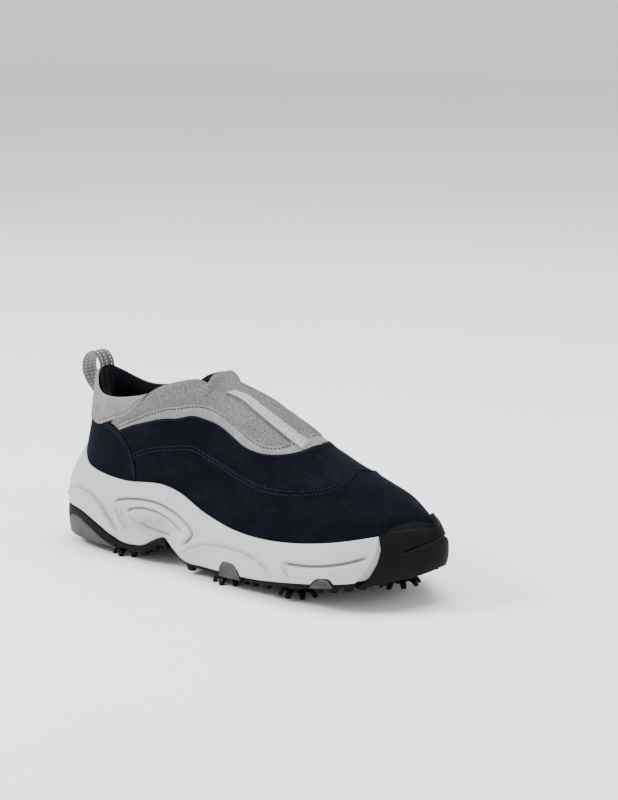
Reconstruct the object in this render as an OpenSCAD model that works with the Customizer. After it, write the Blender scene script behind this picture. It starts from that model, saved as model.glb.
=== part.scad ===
// Slip-on golf shoe for the right foot, toe along +X, inner side along +Y,
// resting on its spikes at z = 0.

/* [Upper] */
// Thickness of the outer leather and textile panels
panel_t = 1.4; // [1:0.1:1.6]
// Space between two sewn layers
layer_gap = 0.3; // [0.2:0.1:0.4]
// Thickness of the textile lining
lining_t = 1.5; // [1:0.1:2]
// Greatest thickness of the collar padding
padding_t = 6; // [3:0.5:7]
// Width of the webbing of the pull loop
loop_w = 15; // [10:1:18]

/* [Sole] */
// Height of the spikes below the outsole
spike_h = 6; // [5:0.5:7]
// Thickness of the forefoot outsole plate
plate_t = 3.5; // [3:0.5:4]
// Thickness of the rubber toe bumper
bumper_t = 3; // [2.5:0.5:3.5]
// Depth of the grey inserts into the sole
insert_depth = 4; // [3.5:0.5:5]

/* [Spikes] */
// Diameter of a receptacle
socket_d = 20; // [18:1:21]
// Diameter of a spike's post
post_d = 9; // [8:0.5:9]
// Radial clearance of the post in its receptacle
post_fit = 0.05; // [0.03:0.01:0.1]
// Number of legs of a spike
leg_count = 8; // [6:1:8]

/* [Hidden] */
$fn = 48;
lateral = -1;
medial = 1;

// Ribs of the upper, from the heel round one side to the toe, at stations 0 to 10.
// Foot of the rib: x, outer y, inner y, z.
toe_fall = 0.46;
feet = [[-143, 3, 3, 34], [-137, -15, 20, 34], [-117, -29, 33, 34], [-83, -34, 37, 34],
        [-43, -36, 36, 33], [-5, -40, 36, 30], [35, -47, 43, 27], [73, -50, 51, 26.5],
        [110, -45, 46.5, 28.5], [135, -27, 29.5, 31], [147.6, 7, 7, 34]];
// Head of the rib, on the collar up to station 4 and on the instep ridge from 5.
heads = [[-135, 3, 3, 127], [-129, -11, 17, 122], [-110, -24, 29, 113], [-77, -28, 33, 117],
         [-41, -19, 25, 128], [-15, 3, 3, 131], [17, 4, 4, 120], [53, 5, 5, 97],
         [87, 6, 6, 81], [118, 7, 7, 70], [141.5, 7, 7, 59.5]];
// Slopes of the rib: rise and flare at the foot, lift and lean at the head.
slopes = [[60, 22, 30, -8], [60, 20, 30, -8], [60, 18, 35, 5], [70, 16, 55, 20],
          [90, 16, 50, 40], [105, 14, 0, 60], [95, 14, 0, 75], [80, 14, 0, 80],
          [70, 14, 0, 76], [55, 14, 0, 62], [40, 16, 0, 24]];
// Plan of the sole at the same stations: x, outer y, inner y.
plan = [[-159.5, 3, 3], [-150.5, -22.5, 26.5], [-125.5, -35, 39], [-86, -40, 44],
        [-45, -42, 43], [-5, -47, 42], [37, -54, 49], [76, -57.6, 57], [114, -51, 52],
        [142, -30, 32.5], [159.2, 7, 7]];
// Height of the midsole's lower edge, at half stations.
sole_z = [24, 25.5, 27, 28, 26.5, 20, 12, 12.5, 21, 10, 9.5, 10, 11, 13, 15.2, 17.2, 19.3,
          21.5, 24, 26.8, 29.5];
// Station where the toe bumper starts, and the sole's step under it
bumper_start = 8.6;
wall_inset = bumper_t + layer_gap;
// How far the sole's rim stands out from the panels, on the sides and under the bumper
rim_out = 2.2;
rim_out_toe = 1.6;
// Clearance between the upper and the sole that it sits in
seat_gap = 0.35;
// Glue line between the midsole and the outsoles
glue_gap = 0.1;
// Height on the rib where the midsole's rim ends.
rim_v = [0.38, 0.37, 0.32, 0.27, 0.25, 0.13, 0.11, 0.15, 0.22, 0.33, 0.45];
// Top of the toe bumper on the rib, over stations 8.6 to 10.
bumper_v = [0.32, 0.4, 0.46, 0.51, 0.57, 0.63, 0.69, 0.72];
// Upper edge of the heel inserts, over stations 0.9 to 2.9.
crescent_z = [12, 19, 22, 21, 17, 11, 7.5];

// Seams, as [station, height on the rib]
tab_low = [[0, 0.615], [0.8, 0.625], [1.6, 0.65], [2.1, 0.685], [2.45, 0.745], [2.8, 0.80],
           [3.05, 0.84]];
tab_top = [[0, 1], [0.53, 1], [1.07, 1], [1.6, 1], [2.13, 1], [2.67, 1], [3.2, 1]];
counter_top = [[0, 0.6], [0.8, 0.61], [1.6, 0.635], [2.15, 0.675], [2.6, 0.685], [2.88, 0.62],
               [3.13, 0.52]];
counter_foot = [[0, 0], [0.57, 0], [1.13, 0], [1.7, 0], [2.27, 0], [2.83, 0], [3.4, 0]];
vamp_foot = [[3.43, 0], [4, 0], [4.6, 0], [5.2, 0], [5.8, 0], [6.4, 0], [7, 0], [7.5, 0],
             [7.8, 0], [8, 0], [8.5, 0], [9, 0], [9.5, 0], [10, 0]];
vamp_seam = [[3.2, 0.53], [3.9, 0.53], [4.55, 0.445], [5.2, 0.395], [5.85, 0.4], [6.5, 0.45],
             [7.15, 0.55], [7.6, 0.63], [7.92, 0.77], [8, 1], [8.5, 1], [9, 1], [9.5, 1], [10, 1]];
trim_low = [[2.92, 0.65], [3.4, 0.685], [3.8, 0.695], [4.2, 0.67], [4.6, 0.63], [5, 0.6],
            [5.4, 0.575], [5.8, 0.57], [6.2, 0.585], [6.6, 0.66], [6.93, 0.8], [7.14, 1]];
trim_high = [[2.7, 0.7], [3.3, 0.765], [3.7, 0.775], [4.1, 0.755], [4.5, 0.705],
             [4.85, 0.665], [5.2, 0.635], [5.6, 0.61], [6, 0.61], [6.4, 0.655], [6.72, 0.8],
             [6.9, 1]];
apron_low = [[3.23, 0.54], [3.7, 0.55], [4.15, 0.51], [4.6, 0.45], [5.05, 0.415],
             [5.5, 0.405], [5.95, 0.415], [6.4, 0.45], [6.9, 0.515], [7.4, 0.6],
             [7.87, 0.77], [7.98, 1]];
gore_low = [[2.76, 0.72], [3.3, 0.775], [3.7, 0.785], [4.1, 0.765], [4.5, 0.715],
            [4.85, 0.675], [5.2, 0.645], [5.6, 0.62], [6, 0.62], [6.35, 0.66], [6.58, 0.75]];
gore_high = [[2.88, 0.79], [3.1, 0.835], [3.28, 0.99], [3.8, 1], [4.3, 0.985], [4.75, 0.87],
             [5.1, 0.8], [5.5, 0.79], [5.9, 0.79], [6.25, 0.79], [6.58, 0.79]];

// Layers of the upper, as distances outward from the panels' outer face
panel = [-panel_t, 0];
stiffener = [-panel_t - layer_gap - 0.9, -panel_t - layer_gap];
lining = [stiffener[0] - layer_gap - lining_t, stiffener[0] - layer_gap];

// Steel shank in the waist of the sole
shank_at = [-101, -5, 26.6];
shank_size = [105, 16, 1.6];

// Middle of the heel in y
heel_y = 3;

// Receptacle places: x, y, slope of the sole there in degrees
spike_at = [[-88, -22, 0], [-88, 27, 0], [13, -33, 0], [17, 29, 0], [71, -35, 0],
            [75, 35, 0], [124, 7, 7]];
// Lower face of each receptacle: the sole curves up from the ball to the toe.
base_at = [spike_h, spike_h, spike_h, spike_h, spike_h + 2, spike_h + 2, spike_h + 7.4];
socket_h = 6;
// Clearance round a receptacle in the sole
socket_gap = 0.2;
chamber_r = 6.8;
ledge_t = 2;
lug_angle = 40;
turn = 90;

// ---- geometry ----

// Smooth value of a list spread evenly over a to b. Past either end an open list stops,
// and a ring of rows or heights carries on round the heel or the toe to the other side.
function swap(row) =
    is_num(row) ? row : [row[0], row[2], row[1], for (k = [3:1:len(row) - 1]) row[k]];
function knot(list, i, ring) =
    let (last = len(list) - 1)
    i < 0 ? (ring ? swap(list[1]) : 2 * list[0] - list[1])
    : i > last ? (ring ? swap(list[last - 1]) : 2 * list[last] - list[last - 1]) : list[i];
function along(list, x, a = 0, b = 10, ring = true) =
    let (s = (max(a, min(b, x)) - a) / (b - a) * (len(list) - 1),
         i = min(len(list) - 2, floor(s)), u = s - i,
         q = list[i], r = list[i + 1],
         m = (r - knot(list, i - 1, ring)) / 2, n = (knot(list, i + 2, ring) - q) / 2)
    (2 * pow(u, 3) - 3 * u * u + 1) * q + (pow(u, 3) - 2 * u * u + u) * m
    + (3 * u * u - 2 * pow(u, 3)) * r + (pow(u, 3) - u * u) * n;
function on_line(list, u) = along(list, u, 0, 1, false);
function unit(v) = v / max(norm(v), 1e-6);
function ease(x) = let (u = max(0, min(1, x))) u * u * (3 - 2 * u);

// Outward direction in plan at a station of one side of an outline.
function outward(list, t, side) =
    let (k = side < 0 ? 1 : 2, d = along(list, min(10, t + 0.01)) - along(list, max(0, t - 0.01)))
    -side * unit([d[k], -d[0], 0]);

// Point of the upper's surface at station t and height v on the rib.
function skin_point(t, v, side) =
    let (k = side < 0 ? 1 : 2, f = along(feet, t), h = along(heads, t), s = along(slopes, t),
         n = outward(feet, t, side), w = ease(t - 4),
         foot_dir = n * s[1] + [0, 0, s[0]],
         back = ease(t - 9), over = [-back, -side * (1 - back), toe_fall * back] * s[3],
         head_dir = (1 - w) * ([0, 0, s[2]] - n * s[3]) + w * over)
    (2 * pow(v, 3) - 3 * v * v + 1) * [f[0], f[k], f[3]]
    + (pow(v, 3) - 2 * v * v + v) * foot_dir
    + (3 * v * v - 2 * pow(v, 3)) * [h[0], h[k], h[3]]
    + (pow(v, 3) - v * v) * head_dir;
function skin_normal(t, v, side) =
    let (a = max(0.03, min(9.94, t)), e = 0.03, b = min(1, v + 0.02), c = max(0, v - 0.02),
         along_t = skin_point(a + e, v, side) - skin_point(a - e, v, side),
         along_v = skin_point(a, b, side) - skin_point(a, c, side),
         n = unit(cross(along_t, along_v)) * -side,
         nose = ease((t - 9) / 0.6) * ease((v - 0.7) / 0.3),
         smooth = unit((1 - nose) * n + nose * unit([toe_fall, 0, 1])))
    t < 0.03 || t > 9.94 ? unit([smooth[0], 0, smooth[2]]) : smooth;
// The same point, moved outward by a distance.
function at(t, v, side, out) = skin_point(t, v, side) + out * skin_normal(t, v, side);

// Closed solid between two equal grids of points. A folded grid closes on itself at its last
// row, whose points are the same on both sides of the middle. A zipped grid closes along its
// last column, over so many rows on each side of its middle row.
module solid(a, b, folded = false, zip = 0) {
    n = len(a);
    m = len(a[0]);
    mid = (n - 1) / 2;
    row = function (i, j)
        zip > 0 && j == m - 1 && i > mid && i <= mid + zip ? 2 * mid - i : i;
    col = function (i, j) folded && i == n - 1 && 2 * j > m ? m - 1 - j : j;
    id = function (g, i, j) g * n * m + row(i, j) * m + col(i, j);
    open = [for (i = [0:n - 2]) if (zip == 0 || i < mid - zip || i >= mid + zip) i];
    quads = concat(
        [for (i = [0:n - 2], j = [0:m - 2])
            [id(0, i, j), id(0, i + 1, j), id(0, i + 1, j + 1), id(0, i, j + 1)]],
        [for (i = [0:n - 2], j = [0:m - 2])
            [id(1, i, j + 1), id(1, i + 1, j + 1), id(1, i + 1, j), id(1, i, j)]],
        [for (i = [0:n - 2]) [id(1, i, 0), id(1, i + 1, 0), id(0, i + 1, 0), id(0, i, 0)]],
        [for (i = open)
            [id(0, i, m - 1), id(0, i + 1, m - 1), id(1, i + 1, m - 1), id(1, i, m - 1)]],
        [for (j = [0:m - 2]) [id(0, 0, j), id(0, 0, j + 1), id(1, 0, j + 1), id(1, 0, j)]],
        folded ? [] : [for (j = [0:m - 2])
            [id(0, n - 1, j + 1), id(0, n - 1, j), id(1, n - 1, j), id(1, n - 1, j + 1)]]);
    polyhedron([for (row = a) each row, for (row = b) each row],
               [for (q = quads) each [[q[0], q[1], q[2]], [q[0], q[2], q[3]]]]);
}

// Row of points across a panel, at u = 0 to 1 along its lower and its upper seam.
function seam_row(low, high, u, m, side, out) =
    let (p = on_line(low, u), q = on_line(high, u))
    [for (j = [0:m]) let (c = p + (q - p) * j / m) at(c[0], min(1, c[1]), side, out)];
// Panel on one side only.
module side_panel(low, high, n, m, layer, side) {
    grid = function (out) [for (i = [0:n]) seam_row(low, high, i / n, m, side, out)];
    solid(grid(layer[side < 0 ? 0 : 1]), grid(layer[side < 0 ? 1 : 0]));
}
// Panel on both sides that meets at u = 0, round the heel.
module ring_panel(low, high, n, m, layer) {
    grid = function (out)
        [for (i = [-n:n]) seam_row(low, high, abs(i) / n, m, i < 0 ? lateral : medial, out)];
    solid(grid(layer[1]), grid(layer[0]));
}
// Panel on both sides that meets at u = 1, on the instep ridge.
module ridge_panel(low, high, n, m, layer, zip = 0) {
    grid = function (out)
        [for (i = [-n:n]) seam_row(low, high, 1 - abs(i) / n, m, i < 0 ? lateral : medial, out)];
    solid(grid(layer[0]), grid(layer[1]), zip = zip);
}

// Arch over the instep from foot_v of one side to foot_v of the other, stations t0 to t1.
function arch_grid(t0, t1, v0, n, m, out) =
    [for (i = [0:n]) let (t = t0 + (t1 - t0) * i / n)
        [for (j = [-m:m]) at(t, 1 - abs(j) / m * (1 - v0), j < 0 ? lateral : medial, out)]];
module arch_panel(t0, t1, v0, n, m, layer)
    solid(arch_grid(t0, t1, v0, n, m, layer[0]), arch_grid(t0, t1, v0, n, m, layer[1]),
          t1 == 10);

function has_bumper(t) = t > bumper_start;
// Point of the sole's side wall: w = 0 at the lower edge and 1 at the rim.
function wall(t, w, side, inset = 0, rim = rim_out) =
    let (k = side < 0 ? 1 : 2, o = along(plan, t), n = outward(plan, t, side),
         g = w * w, tuck = inset + 2 * pow(1 - w, 3),
         base = [o[0], o[k], 0] - n * tuck,
         lip = at(t, along(rim_v, t), side, rim),
         z0 = along(sole_z, t))
    [base[0] * (1 - g) + lip[0] * g, base[1] * (1 - g) + lip[1] * g, z0 + (lip[2] - z0) * w];
// Point in plan, moved inward from the sole's outline, at height z.
function inside(t, side, inset, z) =
    let (k = side < 0 ? 1 : 2, o = along(plan, t), n = outward(plan, t, side))
    [o[0] - n[0] * inset, o[k] - n[1] * inset, z];
// Point in plan, moved inward from the feet of the ribs, at height dz above them.
function bed(t, side, inset, dz) =
    let (k = side < 0 ? 1 : 2, f = along(feet, t), n = outward(feet, t, side))
    [f[0] - n[0] * inset, f[k] - n[1] * inset, f[3] + dz];
// Closed solid across the shoe between the same column on both sides.
module across(stations, column)
    solid([for (t = stations) column(t, medial)], [for (t = stations) column(t, lateral)]);

function steps(a, b, n) = [for (i = [0:n]) a + (b - a) * i / n];
// Stations between which the heel outsole is cut back for its inserts
crescent = [0.9, 2.9];
// Stations where the heel outsole ends and the forefoot outsole starts
waist = [4.1, 4.5];
sole_stations = concat([0.04, 0.3, 0.6, crescent[0] - 0.01],
                       steps(crescent[0] + 0.01, crescent[1] - 0.01, 8),
                       steps(crescent[1] + 0.01, waist[0], 6), steps(waist[1], bumper_start - 0.01, 16),
                       steps(bumper_start + 0.01, 9.95, 8));

module place(i)
    translate([spike_at[i][0], spike_at[i][1], 0]) rotate([0, -spike_at[i][2], 0]) children();
function base_z(i) = base_at[i];

// ---- upper ----

module heel_counter_cover() color("midnightblue") ring_panel(counter_foot, counter_top, 18, 6, panel);

module vamp_panel() color([0.06, 0.08, 0.13]) ridge_panel(vamp_foot, vamp_seam, 26, 8, panel, zip = 8);

module apron_panel() color([0.08, 0.11, 0.18]) ridge_panel(apron_low, trim_low, 26, 3, panel);

module instep_trim() color("darkgray") ridge_panel(trim_low, trim_high, 26, 2, panel + [0, 0.5]);

module instep_gore(side) color("silver")
    side_panel(gore_low, gore_high, 22, 4, panel, side);

module tongue_gusset() color("gray") arch_panel(5.05, 6.68, 0.81, 10, 4, panel);

ribbon_low = [[5.1, 0.8], [7.05, 0.81]];
ribbon_high = [[5.25, 0.87], [7.1, 0.885]];
module centre_ribbon() color("gainsboro")
    side_panel(ribbon_low, ribbon_high, 14, 2, [0.6, 1.6], lateral);

module heel_tab() color("lightgray") ring_panel(tab_low, tab_top, 18, 5, panel + [0, 0.4]);

// Webbing strap as a line in the middle plane. Its sewn ends curve with the heel.
loop_line = [[-132.9, 118], [-132.53, 124], [-133, 131], [-137.5, 136.8], [-144, 136.2],
             [-148.5, 130], [-149, 122], [-145, 114], [-139.6, 108], [-139, 102]];
loop_t = 0.8;
heel_curve = 0.034;
module pull_loop() color("slategray") {
    n = 36;
    line = [for (i = [0:n]) on_line(loop_line, i / n)];
    normal = [for (i = [0:n])
        let (d = line[min(n, i + 1)] - line[max(0, i - 1)]) unit([-d[1], d[0]])];
    grid = function (out) [for (i = [0:n])
        let (p = line[i] + normal[i] * out, bend = heel_curve * pow(abs(2 * i / n - 1), 2))
        [for (k = [-2:2]) let (y = k * loop_w / 4) [p[0] + bend * y * y, heel_y + y, p[1]]]];
    solid(grid(-loop_t / 2), grid(loop_t / 2));
}

module quarter_lining() color([0.1, 0.1, 0.12])
    ring_panel([[0, 0], [5, 0]], [[0, 1], [5, 1]], 20, 8, lining);

module vamp_lining() color([0.15, 0.15, 0.17]) arch_panel(5.01, 10, 0, 20, 7, lining);

// The padding is thickest in the middle of its height, and thins out towards the throat.
pad_end = 4.5;
pad_v = [0.7, 0.98];
function pad_depth(t, u) = 1 + (padding_t - 1) * sin(180 * u) * ease((pad_end + 0.46 - t) / 1.2);
function pad_column(t, side, inner) =
    [for (j = [0:6]) let (u = j / 6)
        at(t, pad_v[0] + (pad_v[1] - pad_v[0]) * u, side,
           lining[0] - 2 * layer_gap - (inner ? pad_depth(t, u) : 0))];
module collar_padding() color([0.08, 0.08, 0.1]) {
    n = 18;
    grid = function (inner)
        [for (i = [-n:n]) pad_column(pad_end * abs(i) / n, i < 0 ? lateral : medial, inner)];
    solid(grid(false), grid(true));
}

module counter_stiffener() color("tan")
    ring_panel([[0, 0.02], [2.8, 0.02]], [[0, 0.5], [2.3, 0.42]], 12, 4, stiffener);

module toe_puff() color("tan") arch_panel(8.9, 10, 0.05, 6, 6, stiffener);

// ---- inside the sole ----

module insole_board() color("burlywood")
    across(steps(0.1, 9.9, 30), function (t, side)
        [bed(t, side, 5.2, 0), bed(t, side, 5.2, 2)]);

module sockliner() color([0.2, 0.2, 0.22])
    across(steps(0.15, 9.85, 30), function (t, side)
        [bed(t, side, 6, 2.2), bed(t, side, 5.2, 4), bed(t, side, 4.6, 7), bed(t, side, 7.5, 6.4)]);

module shank() color("dimgray")
    translate(shank_at) cube(shank_size);

// ---- sole ----

// Clearance between the midsole's bed and the insole board
bed_gap = 1.2;
function midsole_column(t, side) =
    let (inset = has_bumper(t) ? wall_inset : 0, rim = has_bumper(t) ? rim_out_toe : rim_out,
         v = along(rim_v, t))
    concat([for (w = [0, 0.2, 0.45, 0.75, 1]) wall(t, w, side, inset, rim)],
           [for (k = [1, 0.66, 0.33, 0]) at(t, v * k, side, seat_gap)],
           [bed(t, side, 0.2, -bed_gap), bed(t, side, 8, -bed_gap)]);
// Hole for a receptacle, from so far below its foot to so far above its top.
module socket_hole(i, below, above)
    place(i) translate([0, 0, base_z(i) - below])
        cylinder(d = socket_d + 2 * socket_gap, h = socket_h + below + above);
module midsole() color("white") difference() {
    across(sole_stations, function (t, side) midsole_column(t, side));
    for (i = [0:6]) socket_hole(i, 1, layer_gap);
    translate(shank_at - [1, 1, 1] * layer_gap) cube(shank_size + [2, 2, 2] * layer_gap);
    for (s = [0:3]) insert_block(s, insert_gap);
}

function bumper_column(t, side, inner) =
    let (v0 = along(rim_v, t), v1 = along(bumper_v, t, bumper_start, 10),
         z0 = along(sole_z, t) - plate_t,
         skin = inner ? seat_gap : bumper_t - 0.2,
         rim = inner ? rim_out_toe + layer_gap : bumper_t + 0.6)
    concat([inside(t, side, inner ? bumper_t + 2 : 3, z0)],
           [for (w = [0.1, 0.4, 0.7, 1]) wall(t, w, side, inner ? bumper_t : 0, rim)],
           [for (k = [0.35, 0.7, 1]) at(t, v0 + (v1 - v0) * k, side, skin)]);
module toe_bumper() color([0.1, 0.1, 0.1]) {
    n = 12;
    grid = function (inner) [for (i = [-n:n])
        let (t = 10 - (10 - bumper_start - 0.03) * abs(i) / n)
        bumper_column(t, i < 0 ? lateral : medial, inner)];
    solid(grid(true), grid(false));
}

forefoot_stations = [for (t = sole_stations) if (t >= waist[1] && t < 9.9) t];
// Lugs under the forefoot: station, side, distance from the edge
lugs = [[4.75, -1, 10], [4.75, 1, 10], [4.75, -1, 40], [4.95, -1, 26], [5.1, 1, 22],
        [6.1, -1, 10], [6.1, 1, 10], [6.4, -1, 10], [6.3, -1, 32], [6.4, 1, 30], [6, -1, 52],
        [7.55, -1, 10], [7.6, 1, 10], [7.4, -1, 34], [7.5, 1, 32], [7.9, -1, 10], [7.95, 1, 12],
        [8.25, -1, 12], [8.3, 1, 12], [9, -1, 10], [9.1, 1, 10]];
// Extra glue line where the sole curves up in two ways under the toes
toe_gap = 0.5;
lug_size = [7, 6];
lug_h = 3.5;
module lug(t, side, inset)
    translate(inside(t, side, inset, along(sole_z, t) - plate_t - lug_h))
        translate([-lug_size[0], -lug_size[1], 0] / 2)
            cube([lug_size[0], lug_size[1], lug_h + 1]);
module forefoot_outsole() color([0.12, 0.12, 0.12]) difference() {
    union() {
        across(forefoot_stations, function (t, side)
            [inside(t, side, 6, along(sole_z, t) - plate_t),
             inside(t, side, 5, along(sole_z, t) - glue_gap - toe_gap * ease((t - 7.5) / 0.8))]);
        for (p = lugs) lug(p[0], p[1], p[2]);
    }
    for (i = [2:6]) socket_hole(i, socket_h, socket_h);
}

// Underside of the heel outsole: bevelled at the back, and rising into the waist.
heel_bevel = 5;
heel_t = 5;
function heel_low(t) =
    max(spike_h + heel_bevel * ease((1.6 - t) / 1.6), t > 3 ? along(sole_z, t) - heel_t : 0);
function crescent_top(t) = along(crescent_z, t, crescent[0], crescent[1]);
function heel_column(t, side) =
    let (cut = t > crescent[0] && t < crescent[1], inset = cut ? insert_depth : 0,
         z0 = heel_low(t), top = wall(t, 0, side) - [0, 0, glue_gap],
         z1 = cut ? crescent_top(t) : (z0 + top[2]) / 2)
    [inside(t, side, 3 + inset, z0), inside(t, side, 2 + inset, z1),
     inside(t, side, 1.6, z1 + 0.05), top];
heel_stations = [for (t = sole_stations) if (t <= waist[0]) t];
module heel_outsole() color([0.12, 0.12, 0.12]) difference() {
    across(heel_stations, function (t, side) heel_column(t, side));
    for (i = [0, 1]) socket_hole(i, socket_h, layer_gap);
}

module heel_insert(side) color("gray") {
    row = function (inset) [for (t = steps(crescent[0] + 0.03, crescent[1] - 0.03, 8))
        let (z0 = heel_low(t), z1 = crescent_top(t) - 0.1)
        [for (k = [0, 0.5, 1]) inside(t, side, inset - k * 0.6, z0 + (z1 - z0) * k)]];
    outer = 2.6;
    inner = outer - 0.2 + insert_depth;
    if (side < 0) solid(row(inner), row(outer));
    else solid(row(outer), row(inner));
}

// Inserts in the side walls: station, side, length, height
insert_at = [[5.65, -1, 21, 10], [7.7, -1, 15, 8], [5.65, 1, 21, 10], [7.7, 1, 15, 8]];
insert_shape = [[-0.5, 0], [0.5, 0], [0.34, 0.7], [0.22, 1], [-0.22, 1], [-0.4, 0.7]];
insert_gap = 0.25;
// Block of an insert, made larger all round by grow.
module insert_block(s, grow) {
    t = insert_at[s][0];
    side = insert_at[s][1];
    n = outward(plan, t, side);
    size = [insert_at[s][2] + 2 * grow, insert_at[s][3] + 2 * grow];
    translate(inside(t, side, insert_depth + 1, along(sole_z, t)))
        rotate([0, 0, atan2(n[1], n[0])]) translate([-grow, 0, -grow]) rotate([90, 0, 90])
            linear_extrude(insert_depth + 3 * grow)
                polygon([for (p = insert_shape) [p[0] * size[0], p[1] * size[1]]]);
}
module side_insert(s) color("gray") insert_block(s, 0);

// ---- spikes ----

// Ring segment from angle a0 to a1.
module sector(r0, r1, a0, a1, h)
    rotate([0, 0, a0]) rotate_extrude(angle = a1 - a0) translate([r0, 0]) square([r1 - r0, h]);

// Quarter-turn receptacle: a ledge with two entry slots under a chamber with two stops.
slot_play = 3;
stop_play = 4;
roof_t = 1.2;
module receptacle() {
    bore = post_d / 2 + post_fit;
    chamber_h = socket_h - ledge_t - roof_t;
    half = lug_angle / 2;
    difference() {
        cylinder(d = socket_d, h = socket_h);
        translate([0, 0, -1]) cylinder(r = bore, h = ledge_t + 2);
        translate([0, 0, ledge_t]) cylinder(r = chamber_r, h = chamber_h);
        for (a = [turn, turn + 180]) translate([0, 0, -1])
            sector(bore - 1, chamber_r - 0.15, a - half - slot_play, a + half + slot_play, ledge_t + 2);
    }
    for (a = [half + stop_play, half + stop_play + 180])
        translate([0, 0, ledge_t - 0.2])
            sector(bore + 0.4, chamber_r + 0.4, a, a + 180 - turn - lug_angle - 2 * stop_play,
                   chamber_h + 0.4);
}
module receptacles() color("dimgray")
    for (i = [0:6]) place(i) translate([0, 0, base_z(i)]) receptacle();

// Side view of a spike's leg, and its width
leg_shape = [[6, 5.6], [10.5, 5.6], [14.6, 1.2], [14.4, 0], [12.2, 0], [9.4, 2.6], [6, 3.2]];
leg_w = 3.2;
hub = [9, 2.4];
tool_boss_r = 4;
module spike(i) color([0.08, 0.08, 0.08]) place(i) translate([0, 0, base_z(i) - spike_h]) {
    hub_z = spike_h - layer_gap;
    translate([0, 0, hub_z - hub[1]]) cylinder(r = hub[0], h = hub[1]);
    translate([0, 0, 1.4]) cylinder(r = tool_boss_r, h = hub_z - 3);
    for (k = [1:leg_count]) rotate([0, 0, 360 * k / leg_count])
        translate([0, leg_w / 2, 0]) rotate([90, 0, 0]) linear_extrude(leg_w) polygon(leg_shape);
    translate([0, 0, hub_z - 1]) cylinder(d = post_d, h = ledge_t + 3);
    for (a = [0, 180]) translate([0, 0, spike_h + ledge_t + layer_gap])
        sector(1, chamber_r - 0.4, a - lug_angle / 2, a + lug_angle / 2, 1.4);
}

heel_counter_cover();
vamp_panel();
apron_panel();
instep_trim();
instep_gore(lateral);  // instep_gore_lateral
instep_gore(medial);  // instep_gore_medial
tongue_gusset();
centre_ribbon();
heel_tab();
pull_loop();
quarter_lining();
vamp_lining();
collar_padding();
counter_stiffener();
toe_puff();
insole_board();
sockliner();
midsole();
toe_bumper();
forefoot_outsole();
heel_outsole();
heel_insert(lateral);  // heel_insert_lateral
heel_insert(medial);  // heel_insert_medial
side_insert(0);  // side_insert_lateral_rear
side_insert(1);  // side_insert_lateral_front
side_insert(2);  // side_insert_medial_rear
side_insert(3);  // side_insert_medial_front
shank();
receptacles();
spike(0);  // spike_heel_lateral
spike(1);  // spike_heel_medial
spike(2);  // spike_mid_lateral
spike(3);  // spike_mid_medial
spike(4);  // spike_ball_lateral
spike(5);  // spike_ball_medial
spike(6);  // spike_toe
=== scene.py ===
import math

import bmesh
import bpy
import numpy as np
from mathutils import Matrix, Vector


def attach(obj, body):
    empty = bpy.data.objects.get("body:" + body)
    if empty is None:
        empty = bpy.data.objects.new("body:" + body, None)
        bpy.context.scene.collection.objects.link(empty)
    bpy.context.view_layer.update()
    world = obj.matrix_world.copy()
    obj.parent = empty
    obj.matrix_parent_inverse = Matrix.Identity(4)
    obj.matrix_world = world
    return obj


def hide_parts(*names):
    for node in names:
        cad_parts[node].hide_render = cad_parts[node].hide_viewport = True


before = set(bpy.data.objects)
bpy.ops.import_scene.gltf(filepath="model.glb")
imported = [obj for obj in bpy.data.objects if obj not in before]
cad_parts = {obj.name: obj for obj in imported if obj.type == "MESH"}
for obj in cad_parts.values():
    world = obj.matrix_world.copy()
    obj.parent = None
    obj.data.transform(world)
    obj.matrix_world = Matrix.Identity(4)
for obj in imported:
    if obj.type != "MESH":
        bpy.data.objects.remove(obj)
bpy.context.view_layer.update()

lateral, medial = -1, 1
mm = 0.001

# The shoe's form: ribs of the upper at stations 0 (heel) to 10 (toe), in mm.
form = {
    "feet": [[-143, 3, 3, 34], [-137, -15, 20, 34], [-117, -29, 33, 34], [-83, -34, 37, 34],
             [-43, -36, 36, 33], [-5, -40, 36, 30], [35, -47, 43, 27], [73, -50, 51, 26.5],
             [110, -45, 46.5, 28.5], [135, -27, 29.5, 31], [147.6, 7, 7, 34]],
    "heads": [[-135, 3, 3, 127], [-129, -11, 17, 122], [-110, -24, 29, 113], [-77, -28, 33, 117],
              [-41, -19, 25, 128], [-15, 3, 3, 131], [17, 4, 4, 120], [53, 5, 5, 97],
              [87, 6, 6, 81], [118, 7, 7, 70], [141.5, 7, 7, 59.5]],
    "slopes": [[60, 22, 30, -8], [60, 20, 30, -8], [60, 18, 35, 5], [70, 16, 55, 20],
               [90, 16, 50, 40], [105, 14, 0, 60], [95, 14, 0, 75], [80, 14, 0, 80],
               [70, 14, 0, 76], [55, 14, 0, 62], [40, 16, 0, 24]],
    "plan": [[-159.5, 3, 3], [-150.5, -22.5, 26.5], [-125.5, -35, 39], [-86, -40, 44],
             [-45, -42, 43], [-5, -47, 42], [37, -54, 49], [76, -57.6, 57], [114, -51, 52],
             [142, -30, 32.5], [159.2, 7, 7]],
    "soleZ": [24, 25.5, 27, 28, 26.5, 20, 12, 12.5, 21, 10, 9.5, 10, 11, 13, 15.2, 17.2, 19.3,
              21.5, 24, 26.8, 29.5],
    "rimV": [0.38, 0.37, 0.32, 0.27, 0.25, 0.13, 0.11, 0.15, 0.22, 0.33, 0.45],
    "crescentZ": [12, 19, 22, 21, 17, 11, 7.5],
    "toeFall": 0.46, "rimOut": 2.2, "bumperT": 3.0, "plateT": 3.5,
    "panelT": 1.4, "liningOut": -2.9, "liningIn": -4.4,
}


# Working with arrays.
def unit(a):  # arrows of length 1
    return a / np.maximum(np.linalg.norm(a, axis=-1, keepdims=True), 1e-9)


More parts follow.
